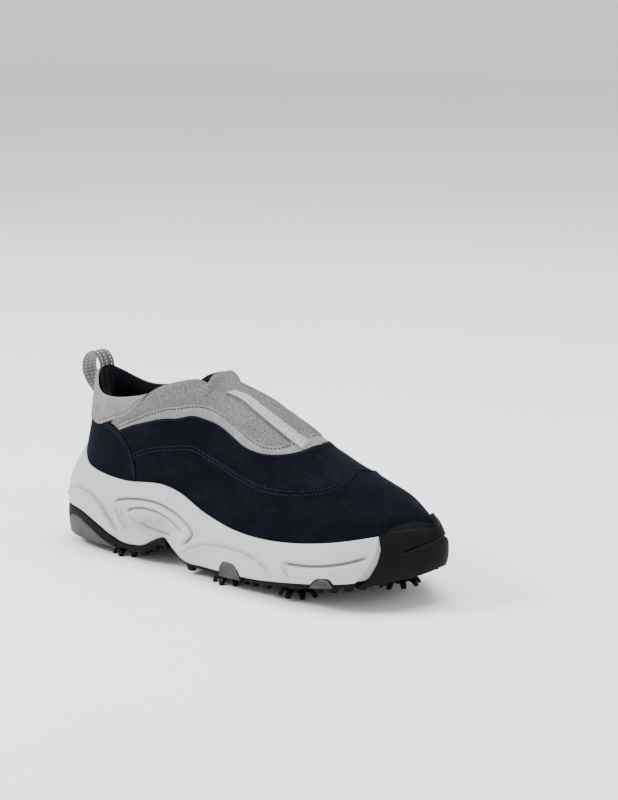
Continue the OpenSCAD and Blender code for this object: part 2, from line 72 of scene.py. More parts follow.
def ease(x):  # 0 to 1 in an S
    u = np.clip(x, 0, 1)
    return u * u * (3 - 2 * u)


def bell(x, width):  # 1 at 0, falling off on both sides
    return np.exp(-(x / width) ** 2)


def runLength(points):  # length along a line of points, at each of them
    return np.concatenate([[0], np.cumsum(np.linalg.norm(np.diff(points, axis=0), axis=-1))])


def along(table, x, a=0.0, b=10.0, ring=True):
    # Catmull-Rom curve through rows spread evenly over a to b. A ring carries on round the heel
    # and the toe to the rows of the other side; an open list runs on straight past its ends.
    k = np.asarray(table, float)
    k = k[:, None] if k.ndim == 1 else k
    if ring:
        ends = [k[1].copy(), k[-2].copy()]
        if k.shape[1] > 2:
            ends = [e[[0, 2, 1] + list(range(3, len(e)))] for e in ends]
    else:
        ends = [2 * k[0] - k[1], 2 * k[-1] - k[-2]]
    k = np.vstack([ends[0], k, ends[1]])
    last = len(k) - 3
    s = (np.clip(x, a, b) - a) / (b - a) * last
    i = np.minimum(np.floor(s).astype(int), last - 1)
    u = (s - i)[..., None]
    q, r = k[i + 1], k[i + 2]
    m, n = (r - k[i]) / 2, (k[i + 3] - q) / 2
    out = ((2 * u**3 - 3 * u**2 + 1) * q + (u**3 - 2 * u**2 + u) * m
           + (3 * u**2 - 2 * u**3) * r + (u**3 - u**2) * n)
    return out[..., 0] if np.ndim(table) == 1 else out


def sideOf(rows, side):  # x, the side's own y, and z
    y = np.where(side < 0, rows[..., 1], rows[..., 2])
    z = rows[..., 3] if rows.shape[-1] > 3 else 0 * y
    return np.stack([rows[..., 0], y, z], -1)


def outward(name, t, side):  # direction out of an outline, in plan
    d = along(form[name], np.minimum(10, t + 0.01)) - along(form[name], np.maximum(0, t - 0.01))
    dy = np.where(side < 0, d[..., 1], d[..., 2])
    n = unit(np.stack([dy, -d[..., 0], 0 * dy], -1))
    return -np.asarray(side, float)[..., None] * n


def skinPoint(t, v, side):
    # Cubic from the rib's foot, leaving it up and out, to its head, where it bends over the ridge.
    t, v, side = np.broadcast_arrays(np.asarray(t, float), v, side)
    foot, head = sideOf(along(form["feet"], t), side), sideOf(along(form["heads"], t), side)
    s, n = along(form["slopes"], t), outward("feet", t, side)
    up = np.array([0, 0, 1.0])
    footDir = n * s[..., 1:2] + up * s[..., 0:1]
    back = ease(t - 9)
    over = np.stack([-back, -side * (1 - back), form["toeFall"] * back], -1) * s[..., 3:4]
    w = ease(t - 4)[..., None]
    headDir = (1 - w) * (up * s[..., 2:3] - n * s[..., 3:4]) + w * over
    v = v[..., None]
    return ((2 * v**3 - 3 * v**2 + 1) * foot + (v**3 - 2 * v**2 + v) * footDir
            + (3 * v**2 - 2 * v**3) * head + (v**3 - v**2) * headDir)


def sideNormal(t, v, side):
    # Cross product of the two directions of the surface, turned up and forward on the toe's nose.
    a, e = np.clip(t, 0.03, 9.94), 0.03
    alongT = skinPoint(a + e, v, side) - skinPoint(a - e, v, side)
    alongV = skinPoint(a, np.minimum(1, v + 0.02), side) - skinPoint(a, np.maximum(0, v - 0.02), side)
    n = unit(np.cross(alongT, alongV)) * -side[..., None]
    nose = (ease((t - 9) / 0.6) * ease((v - 0.7) / 0.3))[..., None]
    n = unit((1 - nose) * n + nose * unit(np.array([form["toeFall"], 0, 1])))
    tip = ((t < 0.03) | (t > 9.94))[..., None]
    return unit(np.where(tip, n * [1, 0, 1], n))


def skinNormal(t, v, side):
    # The surface's own normal, blended with the other side's where the two meet on the ridge.
    t, v, side = [np.array(a, float) for a in np.broadcast_arrays(t, v, side)]
    h = (0.5 * ease((v - 0.95) / 0.05) * (t > 4.9))[..., None]
    return unit(sideNormal(t, v, side) * (1 - h) + sideNormal(t, v, -side) * h)


def skin(t, v, side, out):  # the upper's surface, moved out along its normal
    return skinPoint(t, v, side) + np.asarray(out)[..., None] * skinNormal(t, v, side)


def wall(t, w, side, inset=0.0, rim=None):
    # Side wall of the sole: from the outline in plan at its foot to the rim on the upper.
    t, w, side, inset = np.broadcast_arrays(np.asarray(t, float), w, side, inset)
    rim = form["rimOut"] if rim is None else rim
    tuck = inset + 2 * (1 - w)**3  # mm in from the outline
    foot = sideOf(along(form["plan"], t), side) - outward("plan", t, side) * tuck[..., None]
    lip = skin(t, along(form["rimV"], t), side, rim + 0 * t)
    g, z0 = (w * w)[..., None], along(form["soleZ"], t)
    flat = foot * (1 - g) + lip * g
    flat[..., 2] = z0 + (lip[..., 2] - z0) * w
    return flat


def inside(t, side, inset, z):  # the sole's outline, moved inwards, at a height
    t, side, inset, z = np.broadcast_arrays(np.asarray(t, float), side, inset, z)
    p = sideOf(along(form["plan"], t), side) - outward("plan", t, side) * inset[..., None]
    return np.concatenate([p[..., :2], z[..., None]], -1)


def bed(t, side, inset, rise):  # the line of the ribs' feet, moved inwards and up
    f = sideOf(along(form["feet"], t), side)
    p = f - outward("feet", t, side) * inset
    return p + np.array([0, 0, 1.0]) * rise


# Making meshes.
def gridFaces(n, m, closed=False, start=0):  # quads of a grid of n rows of m points
    i, j = np.arange(n if closed else n - 1)[:, None], np.arange(m - 1)[None, :]
    k = (i + 1) % n
    return start + np.stack([i * m + j, k * m + j, k * m + j + 1, i * m + j + 1], -1).reshape(-1, 4)


def build(name, points, faces, material, body="shoe", replaces=(), slot=None, uv=None,
          sharp=38, merge=0.002, turn=True, paintedShade=None):
    # Mesh from points in mm and four-cornered faces; doubles are merged and normals set outward.
    mesh = bpy.data.meshes.new(name)
    faces = faces if isinstance(faces, list) else faces.tolist()
    mesh.from_pydata((np.asarray(points, float).reshape(-1, 3) * mm).tolist(), [], faces)
    if uv is not None:
        layer = mesh.uv_layers.new(name="cloth")
        corner = np.zeros(len(mesh.loops), np.int32)
        mesh.loops.foreach_get("vertex_index", corner)
        layer.data.foreach_set("uv", np.asarray(uv, float).reshape(-1, 2)[corner].ravel())
    # painted shade for each point, kept as an attribute that the foam's colour reads
    if paintedShade is not None:
        mesh.attributes.new("paintedShade", "FLOAT", "POINT").data.foreach_set("value", np.ravel(paintedShade))
    if turn:
        work = bmesh.new()
        work.from_mesh(mesh)
        bmesh.ops.remove_doubles(work, verts=work.verts, dist=merge * mm)
        bmesh.ops.dissolve_degenerate(work, edges=work.edges, dist=merge * mm * 0.5)
        bmesh.ops.recalc_face_normals(work, faces=work.faces)
        work.to_mesh(mesh)
        work.free()
    mesh.polygons.foreach_set("use_smooth", np.ones(len(mesh.polygons), bool))
    mesh.set_sharp_from_angle(angle=math.radians(sharp))
    mesh.materials.append(material)
    piece = bpy.data.objects.new(name, mesh)
    bpy.context.scene.collection.objects.link(piece)
    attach(piece, body)
    if replaces:
        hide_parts(*replaces)
    return piece


def shellData(a, b, closed=False, uv=None):
    # Closed solid between two equal grids: both faces, the two long rims and the two ends.
    n, m = a.shape[:2]
    size = n * m
    i = np.arange(n if closed else n - 1)
    k = (i + 1) % n
    faces = [gridFaces(n, m, closed), gridFaces(n, m, closed, size)[:, ::-1]]
    for j in (0, m - 1):
        faces.append(np.stack([i * m + j, k * m + j, size + k * m + j, size + i * m + j], -1))
    if not closed:
        j = np.arange(m - 1)
        for e in (0, (n - 1) * m):
            faces.append(np.stack([e + j, e + j + 1, size + e + j + 1, size + e + j], -1))
    points = np.concatenate([a.reshape(-1, 3), b.reshape(-1, 3)])
    return points, np.concatenate(faces), None if uv is None else np.concatenate([uv.reshape(-1, 2)] * 2)


def shell(name, a, b, material, closed=False, uv=None, **more):
    points, faces, uvs = shellData(a, b, closed, uv)
    return build(name, points, faces, material, uv=uvs, **more)


def ringQuads(i, j, m):  # the faces between ring i of m points and the next ring
    k = (j + 1) % m
    return np.stack([i * m + j, (i + 1) * m + j, (i + 1) * m + k, i * m + k], -1)


def loftMesh(sections):
    # Closed solid through rings of points, each end a fan to the middle of its ring.
    n, m = sections.shape[:2]
    j = np.arange(m)
    k, ends = (j + 1) % m, 0 * j + n * m
    points = np.concatenate([sections.reshape(-1, 3), sections[:1].mean(1), sections[-1:].mean(1)])
    faces = ringQuads(np.arange(n - 1)[:, None], j, m).reshape(-1, 4).tolist()
    faces += np.stack([j, k, ends], -1).tolist()
    faces += np.stack([(n - 1) * m + k, (n - 1) * m + j, ends + 1], -1).tolist()
    return points, faces


def joined(parts):  # several (points, faces) as one
    points, faces, start = [], [], 0
    for p, f in parts:
        points.append(np.asarray(p).reshape(-1, 3))
        faces += [[int(i) + start for i in q] for q in f]
        start += len(points[-1])
    return np.concatenate(points), faces


def turned(points, angle):  # about z
    c, s = math.cos(angle), math.sin(angle)
    return np.asarray(points) @ np.array([[c, s, 0], [-s, c, 0], [0, 0, 1]])


def tilted(points, degrees, place):  # about y, then moved to its place
    c, s = math.cos(math.radians(degrees)), math.sin(math.radians(degrees))
    return points @ np.array([[c, 0, s], [0, 1, 0], [-s, 0, c]]) + place


def edgeRound(d, radius):  # how far a rounded edge lies below the face, at a distance from the cut
    return radius * (1 - np.sqrt(np.clip(1 - np.clip(1 - d / radius, 0, 1) ** 2, 0, 1)))


# Materials.
class Finish:
    def __init__(self, name, **values):
        self.material = bpy.data.materials.new(name)
        self.material.use_nodes = True
        self.tree = self.material.node_tree
        self.shader = self.tree.nodes["Principled BSDF"]
        for key, value in values.items():
            self.shader.inputs[key].default_value = value
        self.coords = self.tree.nodes.new("ShaderNodeTexCoord")

    def node(self, kind, **values):
        n = self.tree.nodes.new("ShaderNode" + kind)
        for key, value in values.items():
            if key in n.inputs:
                n.inputs[key].default_value = value
            else:
                setattr(n, key, value)
        return n

    def link(self, a, b):
        self.tree.links.new(a, b)
        return b

    def noise(self, scale, detail=3, rough=0.55, space="Object", stretch=None):
        n = self.node("TexNoise", Scale=scale, Detail=detail, Roughness=rough)
        source = self.coords.outputs[space]
        if stretch:
            m = self.node("Mapping", Scale=stretch)
            self.link(source, m.inputs["Vector"])
            source = m.outputs["Vector"]
        self.link(source, n.inputs["Vector"])
        return n.outputs["Fac"]

    def waves(self, scale, direction="X", space="UV", distortion=0.0, profile="SIN"):
        n = self.node("TexWave", Scale=scale, Distortion=distortion, bands_direction=direction,
                      wave_profile=profile)
        self.link(self.coords.outputs[space], n.inputs["Vector"])
        return n.outputs["Fac"]

    def maths(self, kind, a, b):
        n = self.node("Math", operation=kind)
        for socket, value in ((n.inputs[0], a), (n.inputs[1], b)):
            if isinstance(value, (int, float)):
                socket.default_value = value
            else:
                self.link(value, socket)
        return n.outputs[0]

    def ramp(self, factor, stops):
        n = self.node("ValToRGB")
        for i, (at, colour) in enumerate(stops):
            stop = n.color_ramp.elements[i] if i < 2 else n.color_ramp.elements.new(at)
            stop.position, stop.color = at, (*colour, 1)
        self.link(factor, n.inputs["Fac"])
        return n.outputs["Color"]

    def mix(self, factor, a, b, kind="MIX"):
        n = self.node("Mix", data_type="RGBA", blend_type=kind)
        for socket, value in ((n.inputs[0], factor), (n.inputs[6], a), (n.inputs[7], b)):
            if isinstance(value, (int, float)):
                socket.default_value = value
            elif isinstance(value, tuple):
                socket.default_value = (*value, 1)
            else:
                self.link(value, socket)
        return n.outputs[2]

    def colour(self, socket):
        self.link(socket, self.shader.inputs["Base Color"])

    def rough(self, factor, low, high):
        n = self.node("MapRange")
        n.inputs["To Min"].default_value, n.inputs["To Max"].default_value = low, high
        self.link(factor, n.inputs["Value"])
        self.link(n.outputs["Result"], self.shader.inputs["Roughness"])

    def bump(self, *layers):  # (height, strength, depth in mm), one on another
        last = None
        for height, strength, depth in layers:
            n = self.node("Bump", Strength=strength, Distance=depth * mm)
            self.link(height, n.inputs["Height"])
            if last:
                self.link(last, n.inputs["Normal"])
            last = n.outputs["Normal"]
        self.link(last, self.shader.inputs["Normal"])


def suede(name, dark, mid, light, nap=(70, 420), sheen=0.06, tint=(0.55, 0.7, 1.0)):
    # Brushed nap: broad patches where the hand has stroked it, with short fibres across them.
    f = Finish(name, **{"Roughness": 0.95, "Sheen Weight": sheen, "Sheen Roughness": 0.45,
                        "Sheen Tint": (*tint, 1), "Specular IOR Level": 0.03})
    broad, fine = f.noise(nap[0], 4, 0.6), f.noise(nap[1], 3, 0.7, stretch=(1, 1, 1.7))
    fibres = f.noise(2600, 2, 0.6)
    tone = f.maths("ADD", f.maths("MULTIPLY", broad, 0.55), f.maths("MULTIPLY", fine, 0.45))
    cloth = f.ramp(tone, [(0.33, dark), (0.66, light), (0.5, mid)])
    f.colour(f.mix(0.35, cloth, f.ramp(fibres, [(0.35, dark), (0.65, light)])))
    f.bump((fine, 0.35, 0.35), (fibres, 0.5, 0.18))
    return f.material


def thread(name, base, light):
    f = Finish(name, **{"Roughness": 0.7, "Sheen Weight": 0.05, "Specular IOR Level": 0.12})
    twist = f.waves(240, "DIAGONAL", "Object", 1.0)
    f.colour(f.ramp(twist, [(0.1, base), (0.9, light)]))
    f.bump((twist, 0.5, 0.1))
    return f.material


def heather():
    # Melange stretch cloth: light and darker yarns in short flecks.
    f = Finish("heatherTextile", **{"Roughness": 0.92, "Sheen Weight": 0.04, "Sheen Roughness": 0.5,
                                    "Specular IOR Level": 0.05})
    fleck, yarn = f.noise(780, 3, 0.85), f.noise(2600, 2, 0.6)
    broad = f.noise(45, 3, 0.5)
    flecks = f.ramp(fleck, [(0.36, (0.04, 0.036, 0.038)), (0.6, (0.21, 0.198, 0.201)),
                            (0.48, (0.108, 0.101, 0.103))])
    yarns = f.ramp(yarn, [(0.38, (0.035, 0.033, 0.034)), (0.62, (0.25, 0.238, 0.241))])
    patches = f.ramp(broad, [(0.35, (0.1, 0.094, 0.096)), (0.65, (0.15, 0.141, 0.144))])
    f.colour(f.mix(0.2, f.mix(0.3, flecks, yarns), patches))
    f.bump((fleck, 0.5, 0.3), (yarn, 0.5, 0.15))
    return f.material


def ribMesh():
    # Spacer mesh: fine ribs along the collar, with small open cells between them.
    f = Finish("ribbedMesh", **{"Roughness": 0.8, "Sheen Weight": 0.01, "Specular IOR Level": 0.05})
    ribs = f.waves(0.95, "Y", "UV")
    cells = f.waves(1.5, "X", "UV")
    weave = f.maths("MULTIPLY", ribs, f.maths("ADD", f.maths("MULTIPLY", cells, 0.5), 0.5))
    f.colour(f.ramp(weave, [(0.1, (0.0008, 0.0008, 0.001)), (0.95, (0.007, 0.0075, 0.01))]))
    f.rough(weave, 0.95, 0.7)
    f.bump((weave, 0.9, 0.7))
    return f.material


def webbing(name, low, high):
    f = Finish(name, **{"Roughness": 0.5, "Sheen Weight": 0.2, "Specular IOR Level": 0.5})
    weave = f.maths("MULTIPLY", f.waves(1.1, "X", "UV"), f.waves(2.0, "Y", "UV"))
    wear = f.ramp(f.noise(300), [(0.3, low), (0.7, high)])
    f.colour(f.mix(0.3, f.ramp(weave, [(0.1, low), (0.8, high)]), wear))
    f.bump((weave, 0.7, 0.3))
    return f.material


def foam():
    # Moulded foam: a fine pebble grain, with painted shade that darkens it in its grooves, its hollow and
    # along its ledges.
    f = Finish("whiteFoam", **{"Specular IOR Level": 0.35, "Subsurface Weight": 0.08,
                               "Subsurface Radius": (0.002, 0.002, 0.002)})
    grain, broad, scuff = f.noise(1500, 3, 0.6), f.noise(28, 3, 0.5), f.noise(180, 4, 0.7)
    paintedShade = f.node("Attribute", attribute_name="paintedShade").outputs["Fac"]
    base = f.mix(0.25, f.ramp(broad, [(0.3, (0.4, 0.403, 0.41)), (0.7, (0.46, 0.463, 0.47))]),
                 f.ramp(scuff, [(0.35, (0.36, 0.36, 0.357)), (0.55, (0.47, 0.473, 0.48))]))
    # painted shade: the colour is mixed towards dark grey by the paintedShade attribute
    f.colour(f.mix(paintedShade, base, (0.13, 0.132, 0.137)))
    f.rough(scuff, 0.5, 0.68)
    f.bump((grain, 0.25, 0.12), (scuff, 0.1, 0.1))
    return f.material


def rubber(name, base, light, low=0.5, high=0.75):
    f = Finish(name, **{"Specular IOR Level": 0.09})
    grain, dust = f.noise(1700, 3, 0.6), f.noise(95, 4, 0.65)
    f.colour(f.ramp(dust, [(0.4, base), (0.75, light)]))
    f.rough(dust, low, high)
    f.bump((grain, 0.35, 0.12), (dust, 0.12, 0.2))
    return f.material


def metal():
    f = Finish("shankSteel", **{"Metallic": 1.0, "Base Color": (0.5, 0.5, 0.5, 1)})
    f.rough(f.noise(300, 3, 0.5, stretch=(0.1, 1, 1)), 0.25, 0.5)
    return f.material


def fibreboard():
    f = Finish("fibreboard", **{"Roughness": 0.9})
    f.colour(f.ramp(f.noise(600, 4, 0.7), [(0.3, (0.42, 0.34, 0.22)), (0.7, (0.62, 0.53, 0.38))]))
    f.bump((f.noise(900, 3), 0.4, 0.2))
    return f.material


finishes = {
    "navySuede": suede("navySuede", (0.0011, 0.0015, 0.0022), (0.0027, 0.0036, 0.0054),
                       (0.0056, 0.0074, 0.0108), sheen=0.026),
    "navyNubuck": suede("navyNubuck", (0.0012, 0.0016, 0.0023), (0.003, 0.0038, 0.0056),
                        (0.0066, 0.0082, 0.0116), nap=(45, 300), sheen=0.032),
    "greySuede": suede("greySuede", (0.115, 0.114, 0.108), (0.19, 0.188, 0.18), (0.285, 0.282, 0.27),
                       nap=(90, 520), sheen=0.05, tint=(0.9, 0.9, 0.9)),
    "textile": heather(),
    "mesh": ribMesh(),
    "ribbon": webbing("silverRibbon", (0.17, 0.17, 0.178), (0.35, 0.35, 0.366)),
    "loopOuter": webbing("loopOuter", (0.13, 0.134, 0.146), (0.31, 0.32, 0.34)),
    "loopInner": webbing("loopInner", (0.018, 0.02, 0.02), (0.07, 0.075, 0.075)),
    "navyThread": thread("navyThread", (0.003, 0.005, 0.01), (0.01, 0.018, 0.035)),
    "darkThread": thread("darkThread", (0.004, 0.004, 0.005), (0.03, 0.03, 0.033)),
    "greyThread": thread("greyThread", (0.06, 0.062, 0.066), (0.16, 0.16, 0.168)),
    "whiteThread": thread("whiteThread", (0.6, 0.6, 0.6), (0.9, 0.9, 0.9)),
    "foam": foam(),
    "rubber": rubber("blackRubber", (0.0015, 0.0015, 0.0016), (0.0048, 0.0047, 0.0044)),
    "spike": rubber("spikePlastic", (0.0016, 0.0016, 0.0016), (0.004, 0.004, 0.004), 0.3, 0.5),
    "tpu": rubber("greyPlastic", (0.045, 0.045, 0.042), (0.085, 0.085, 0.08), 0.38, 0.6),
    "nylon": rubber("blackNylon", (0.01, 0.01, 0.01), (0.02, 0.02, 0.02), 0.35, 0.5),
    "steel": metal(),
    "board": fibreboard(),
}
print("finishes made:", len(finishes))


# Sewn panels of the upper.
def across(width, fine=(0, 0.1, 0.25, 0.45, 0.75, 1.1, 1.5, 1.9, 2.3, 2.7, 3.1, 3.6, 4.2, 5.0), middle=14):
    # Shares of a panel's width, close together near both cuts.
    d = np.array(fine)[None, :] * np.minimum(1, 0.42 * width / fine[-1])[:, None]
    share = d / width[:, None]
    mid = np.linspace(0, 1, middle + 2)[None, 1:-1]
    return np.concatenate([share, share[:, -1:] + (1 - 2 * share[:, -1:]) * mid, 1 - share[:, ::-1]], 1)


def relief(d, edge):
    # Height over the panel at a distance from one cut: rounded off at it, raised where the panel
    # laps its neighbour, and drawn down along its rows of stitches.
    r = edge.get("round", 0.6)
    h = edge.get("lap", 0) * (1 - ease((d - 1) / 7)) - edgeRound(d, r)
    h = h + edge.get("bead", 0) * bell(d - 1.2, 0.9) - edge.get("fold", 0) * (1 - ease(d / 4)) ** 2
    for row in edge.get("rows", ()):
        h = h - 0.35 * bell(d - row, 0.6)
    return h


def swell(p):  # low hand-lasted waves, in mm
    x, y, z = p[..., 0], p[..., 1], p[..., 2]
    return (0.28 * np.sin(0.071 * x + 0.9) * np.sin(0.103 * z + 0.05 * y)
            + 0.16 * np.sin(0.19 * x - 0.11 * z + 2.0) * np.sin(0.13 * y + 1.1))


def seamLine(panel, u):  # the low and the high cut, as stations and shares up the rib
    return [along(panel[cut], u, 0, 1, False) for cut in ("low", "high")]


def panelWidth(panel, u, side):  # mm over the surface from cut to cut, in eight steps
    p, q = seamLine(panel, u)
    w = np.linspace(0, 1, 9)[None, :]
    t, v = [p[:, i:i + 1] + (q - p)[:, i:i + 1] * w for i in (0, 1)]
    s = skinPoint(t, np.clip(v, 0, 1), side[:, None])
    return np.maximum(np.linalg.norm(np.diff(s, axis=1), axis=-1).sum(1), 0.5)


def panelHeight(panel, share, width, u):
    # Out from the surface: the panel's own height, the relief at both cuts, and a crown between.
    low, high = share * width[:, None], (1 - share) * width[:, None]
    openTo = panel.get("openTo")  # past this share the high edge is no cut
    edge = 1.0 if openTo is None else (1 - ease((u - openTo) / 0.06 + 1))[:, None]
    lowEdge, highEdge = panel.get("lowEdge", {}), panel.get("highEdge", {})
    low = low + 0.3 * lowEdge.get("ragged", 0) * np.sin(u * 310 + 2 * np.sin(u * 97))[:, None]
    tuck = panel.get("tuckEnd", 0) * (1 - ease(u / 0.035))[:, None]
    return (panel["out"] - tuck + relief(low, lowEdge) + edge * relief(high, highEdge)
            + panel.get("crown", 0.3) * np.sin(np.pi * share))


def onPanel(panel, share, u, side, out):
    # Points between the two cuts, laid on the ribs' surface and moved out with the swell.
    p, q = seamLine(panel, u)
    t, v = [p[:, i:i + 1] + (q - p)[:, i:i + 1] * share for i in (0, 1)]
    s = side[:, None]
    base = skinPoint(t, np.clip(v, 0, 1), s)
    lift = panel.get("rise", 0) * ease((t - 3.1) / 0.5) * (1 - ease((t - 4.1) / 0.7))
    base[..., 2] += lift * ease((v - 0.88) / 0.12)
    return base + (out + panel.get("swell", 1) * swell(base))[..., None] * skinNormal(t, np.clip(v, 0, 1), s)


def spread(panel, n):  # shares along the seams and the side of each column
    kind = panel["kind"]
    if kind in ("lateral", "medial"):
        return np.linspace(0, 1, n + 1), np.full(n + 1, lateral if kind == "lateral" else medial)
    i = np.arange(-n, n + 1)
    return (np.abs(i) / n if kind == "ring" else 1 - np.abs(i) / n), np.where(i < 0, lateral, medial)


def panelPiece(name, panel, n, material, nodes, slot, middle=14):
    # A panel is the closed solid between its outer face and its back.
    u, side = spread(panel, n)
    width = panelWidth(panel, u, side)
    share = across(width, middle=middle)
    outer = onPanel(panel, share, u, side, panelHeight(panel, share, width, u))
    thick = panel.get("thick", form["panelT"])
    inner = onPanel(panel, share, u, side, panel["out"] - thick + 0 * share)
    if panel.get("openTo") is not None:  # the two sides meet along the ridge
        meet = u >= panel["openTo"]
        for g in (outer, inner):
            both = (g[:, -1] + g[::-1, -1]) / 2
            g[meet, -1] = both[meet]
    if panel["kind"] in ("lateral", "medial"):
        columnsIn, endDrop = np.minimum(u, 1 - u) * n, 0.7  # the last columns round off
        outer -= (endDrop * (1 - ease(columnsIn / 3)))[:, None, None] * unit(outer - inner)
    run = runLength(outer[:, share.shape[1] // 2])
    uv = np.stack([np.broadcast_to(run[:, None], share.shape), share * width[:, None]], -1) / 10
    return shell(name, outer, inner, material, uv=uv, replaces=nodes, slot=slot)


def stitchPart(centres, tangents, normals, length, wide, high):
    # One stitch is a bead of five rings lying along the seam, its two ends dipping in.
    a = np.linspace(0, 2 * np.pi, 7)[:-1]
    stations = [(-0.5, 0.25, -0.35), (-0.3, 0.85, 0.0), (0.0, 1.0, 0.12), (0.3, 0.85, 0.0),
                (0.5, 0.25, -0.35)]  # place along it, girth, and lift
    sideways = unit(np.cross(normals, tangents))
    rings = []
    for x, r, lift in stations:
        centre = centres + tangents * x * length + normals * lift * high
        rings.append(centre[:, None] + sideways[:, None] * (np.cos(a) * r * wide / 2)[None, :, None]
                     + normals[:, None] * (np.sin(a) * r * high / 2)[None, :, None])
    g = np.stack(rings, 1)  # stitch, ring, angle
    count, m = len(centres), len(a)
    per = len(stations) * m
    quads = [ringQuads(i, np.arange(m), m) for i in range(len(stations) - 1)]
    ends = np.array([[0, 1, 2, 3], [0, 3, 4, 5]])
    quads = np.concatenate(quads + [ends[:, ::-1], ends + (len(stations) - 1) * m])
    faces = (quads[None] + np.arange(count)[:, None, None] * per).reshape(-1, 4)
    return g.reshape(-1, 3), faces


def stitches(points, normals, pitch=2.5, length=1.75, wide=0.8, high=0.62, skip=1.5):
    # Stitches at even steps of length along a line of points, in mm.
    steps = runLength(points)
    if steps[-1] < 3 * pitch:
        return None
    at = np.arange(skip, steps[-1] - skip, pitch)
    pick = lambda a, s: np.stack([np.interp(s, steps, a[:, i]) for i in range(3)], -1)
    c = pick(points, at)
    tangent = unit(pick(points, np.minimum(at + 0.4, steps[-1])) - pick(points, np.maximum(at - 0.4, 0)))
    return stitchPart(c, tangent, unit(pick(normals, at)), length, wide, high)


def stitchMesh(name, parts, thread, slot):  # rows of stitches as one piece
    points, faces = joined([(p, f.tolist()) for p, f in parts])
    build("stitches." + name, points, faces, finishes[thread], turn=False, sharp=80, slot=slot)


def panelRow(panel, distance, fromHigh, n=400, span=(0, 1), **how):
    # A row of stitches at a distance in mm from one cut of a panel, a run for each side.
    u, side = spread(panel, n)
    keep = (u >= span[0]) & (u <= span[1])
    runs = [keep & (side < 0), keep & (side > 0)] if span != (0, 1) else [keep]
    parts = []
    for run in runs:
        if run.sum() < 4:
            continue
        uu, ss = u[run], side[run]
        width = panelWidth(panel, uu, ss)
        share = np.clip(distance / width, 0, 1)[:, None]
        share = 1 - share if fromHigh else share
        out = panelHeight(panel, share, width, uu) + 0.12
        p = onPanel(panel, share, uu, ss, out)[:, 0]
        q = onPanel(panel, share, uu, ss, out + 1)[:, 0]
        made = stitches(p, q - p, **how)
        if made:
            parts.append(made)
    return parts


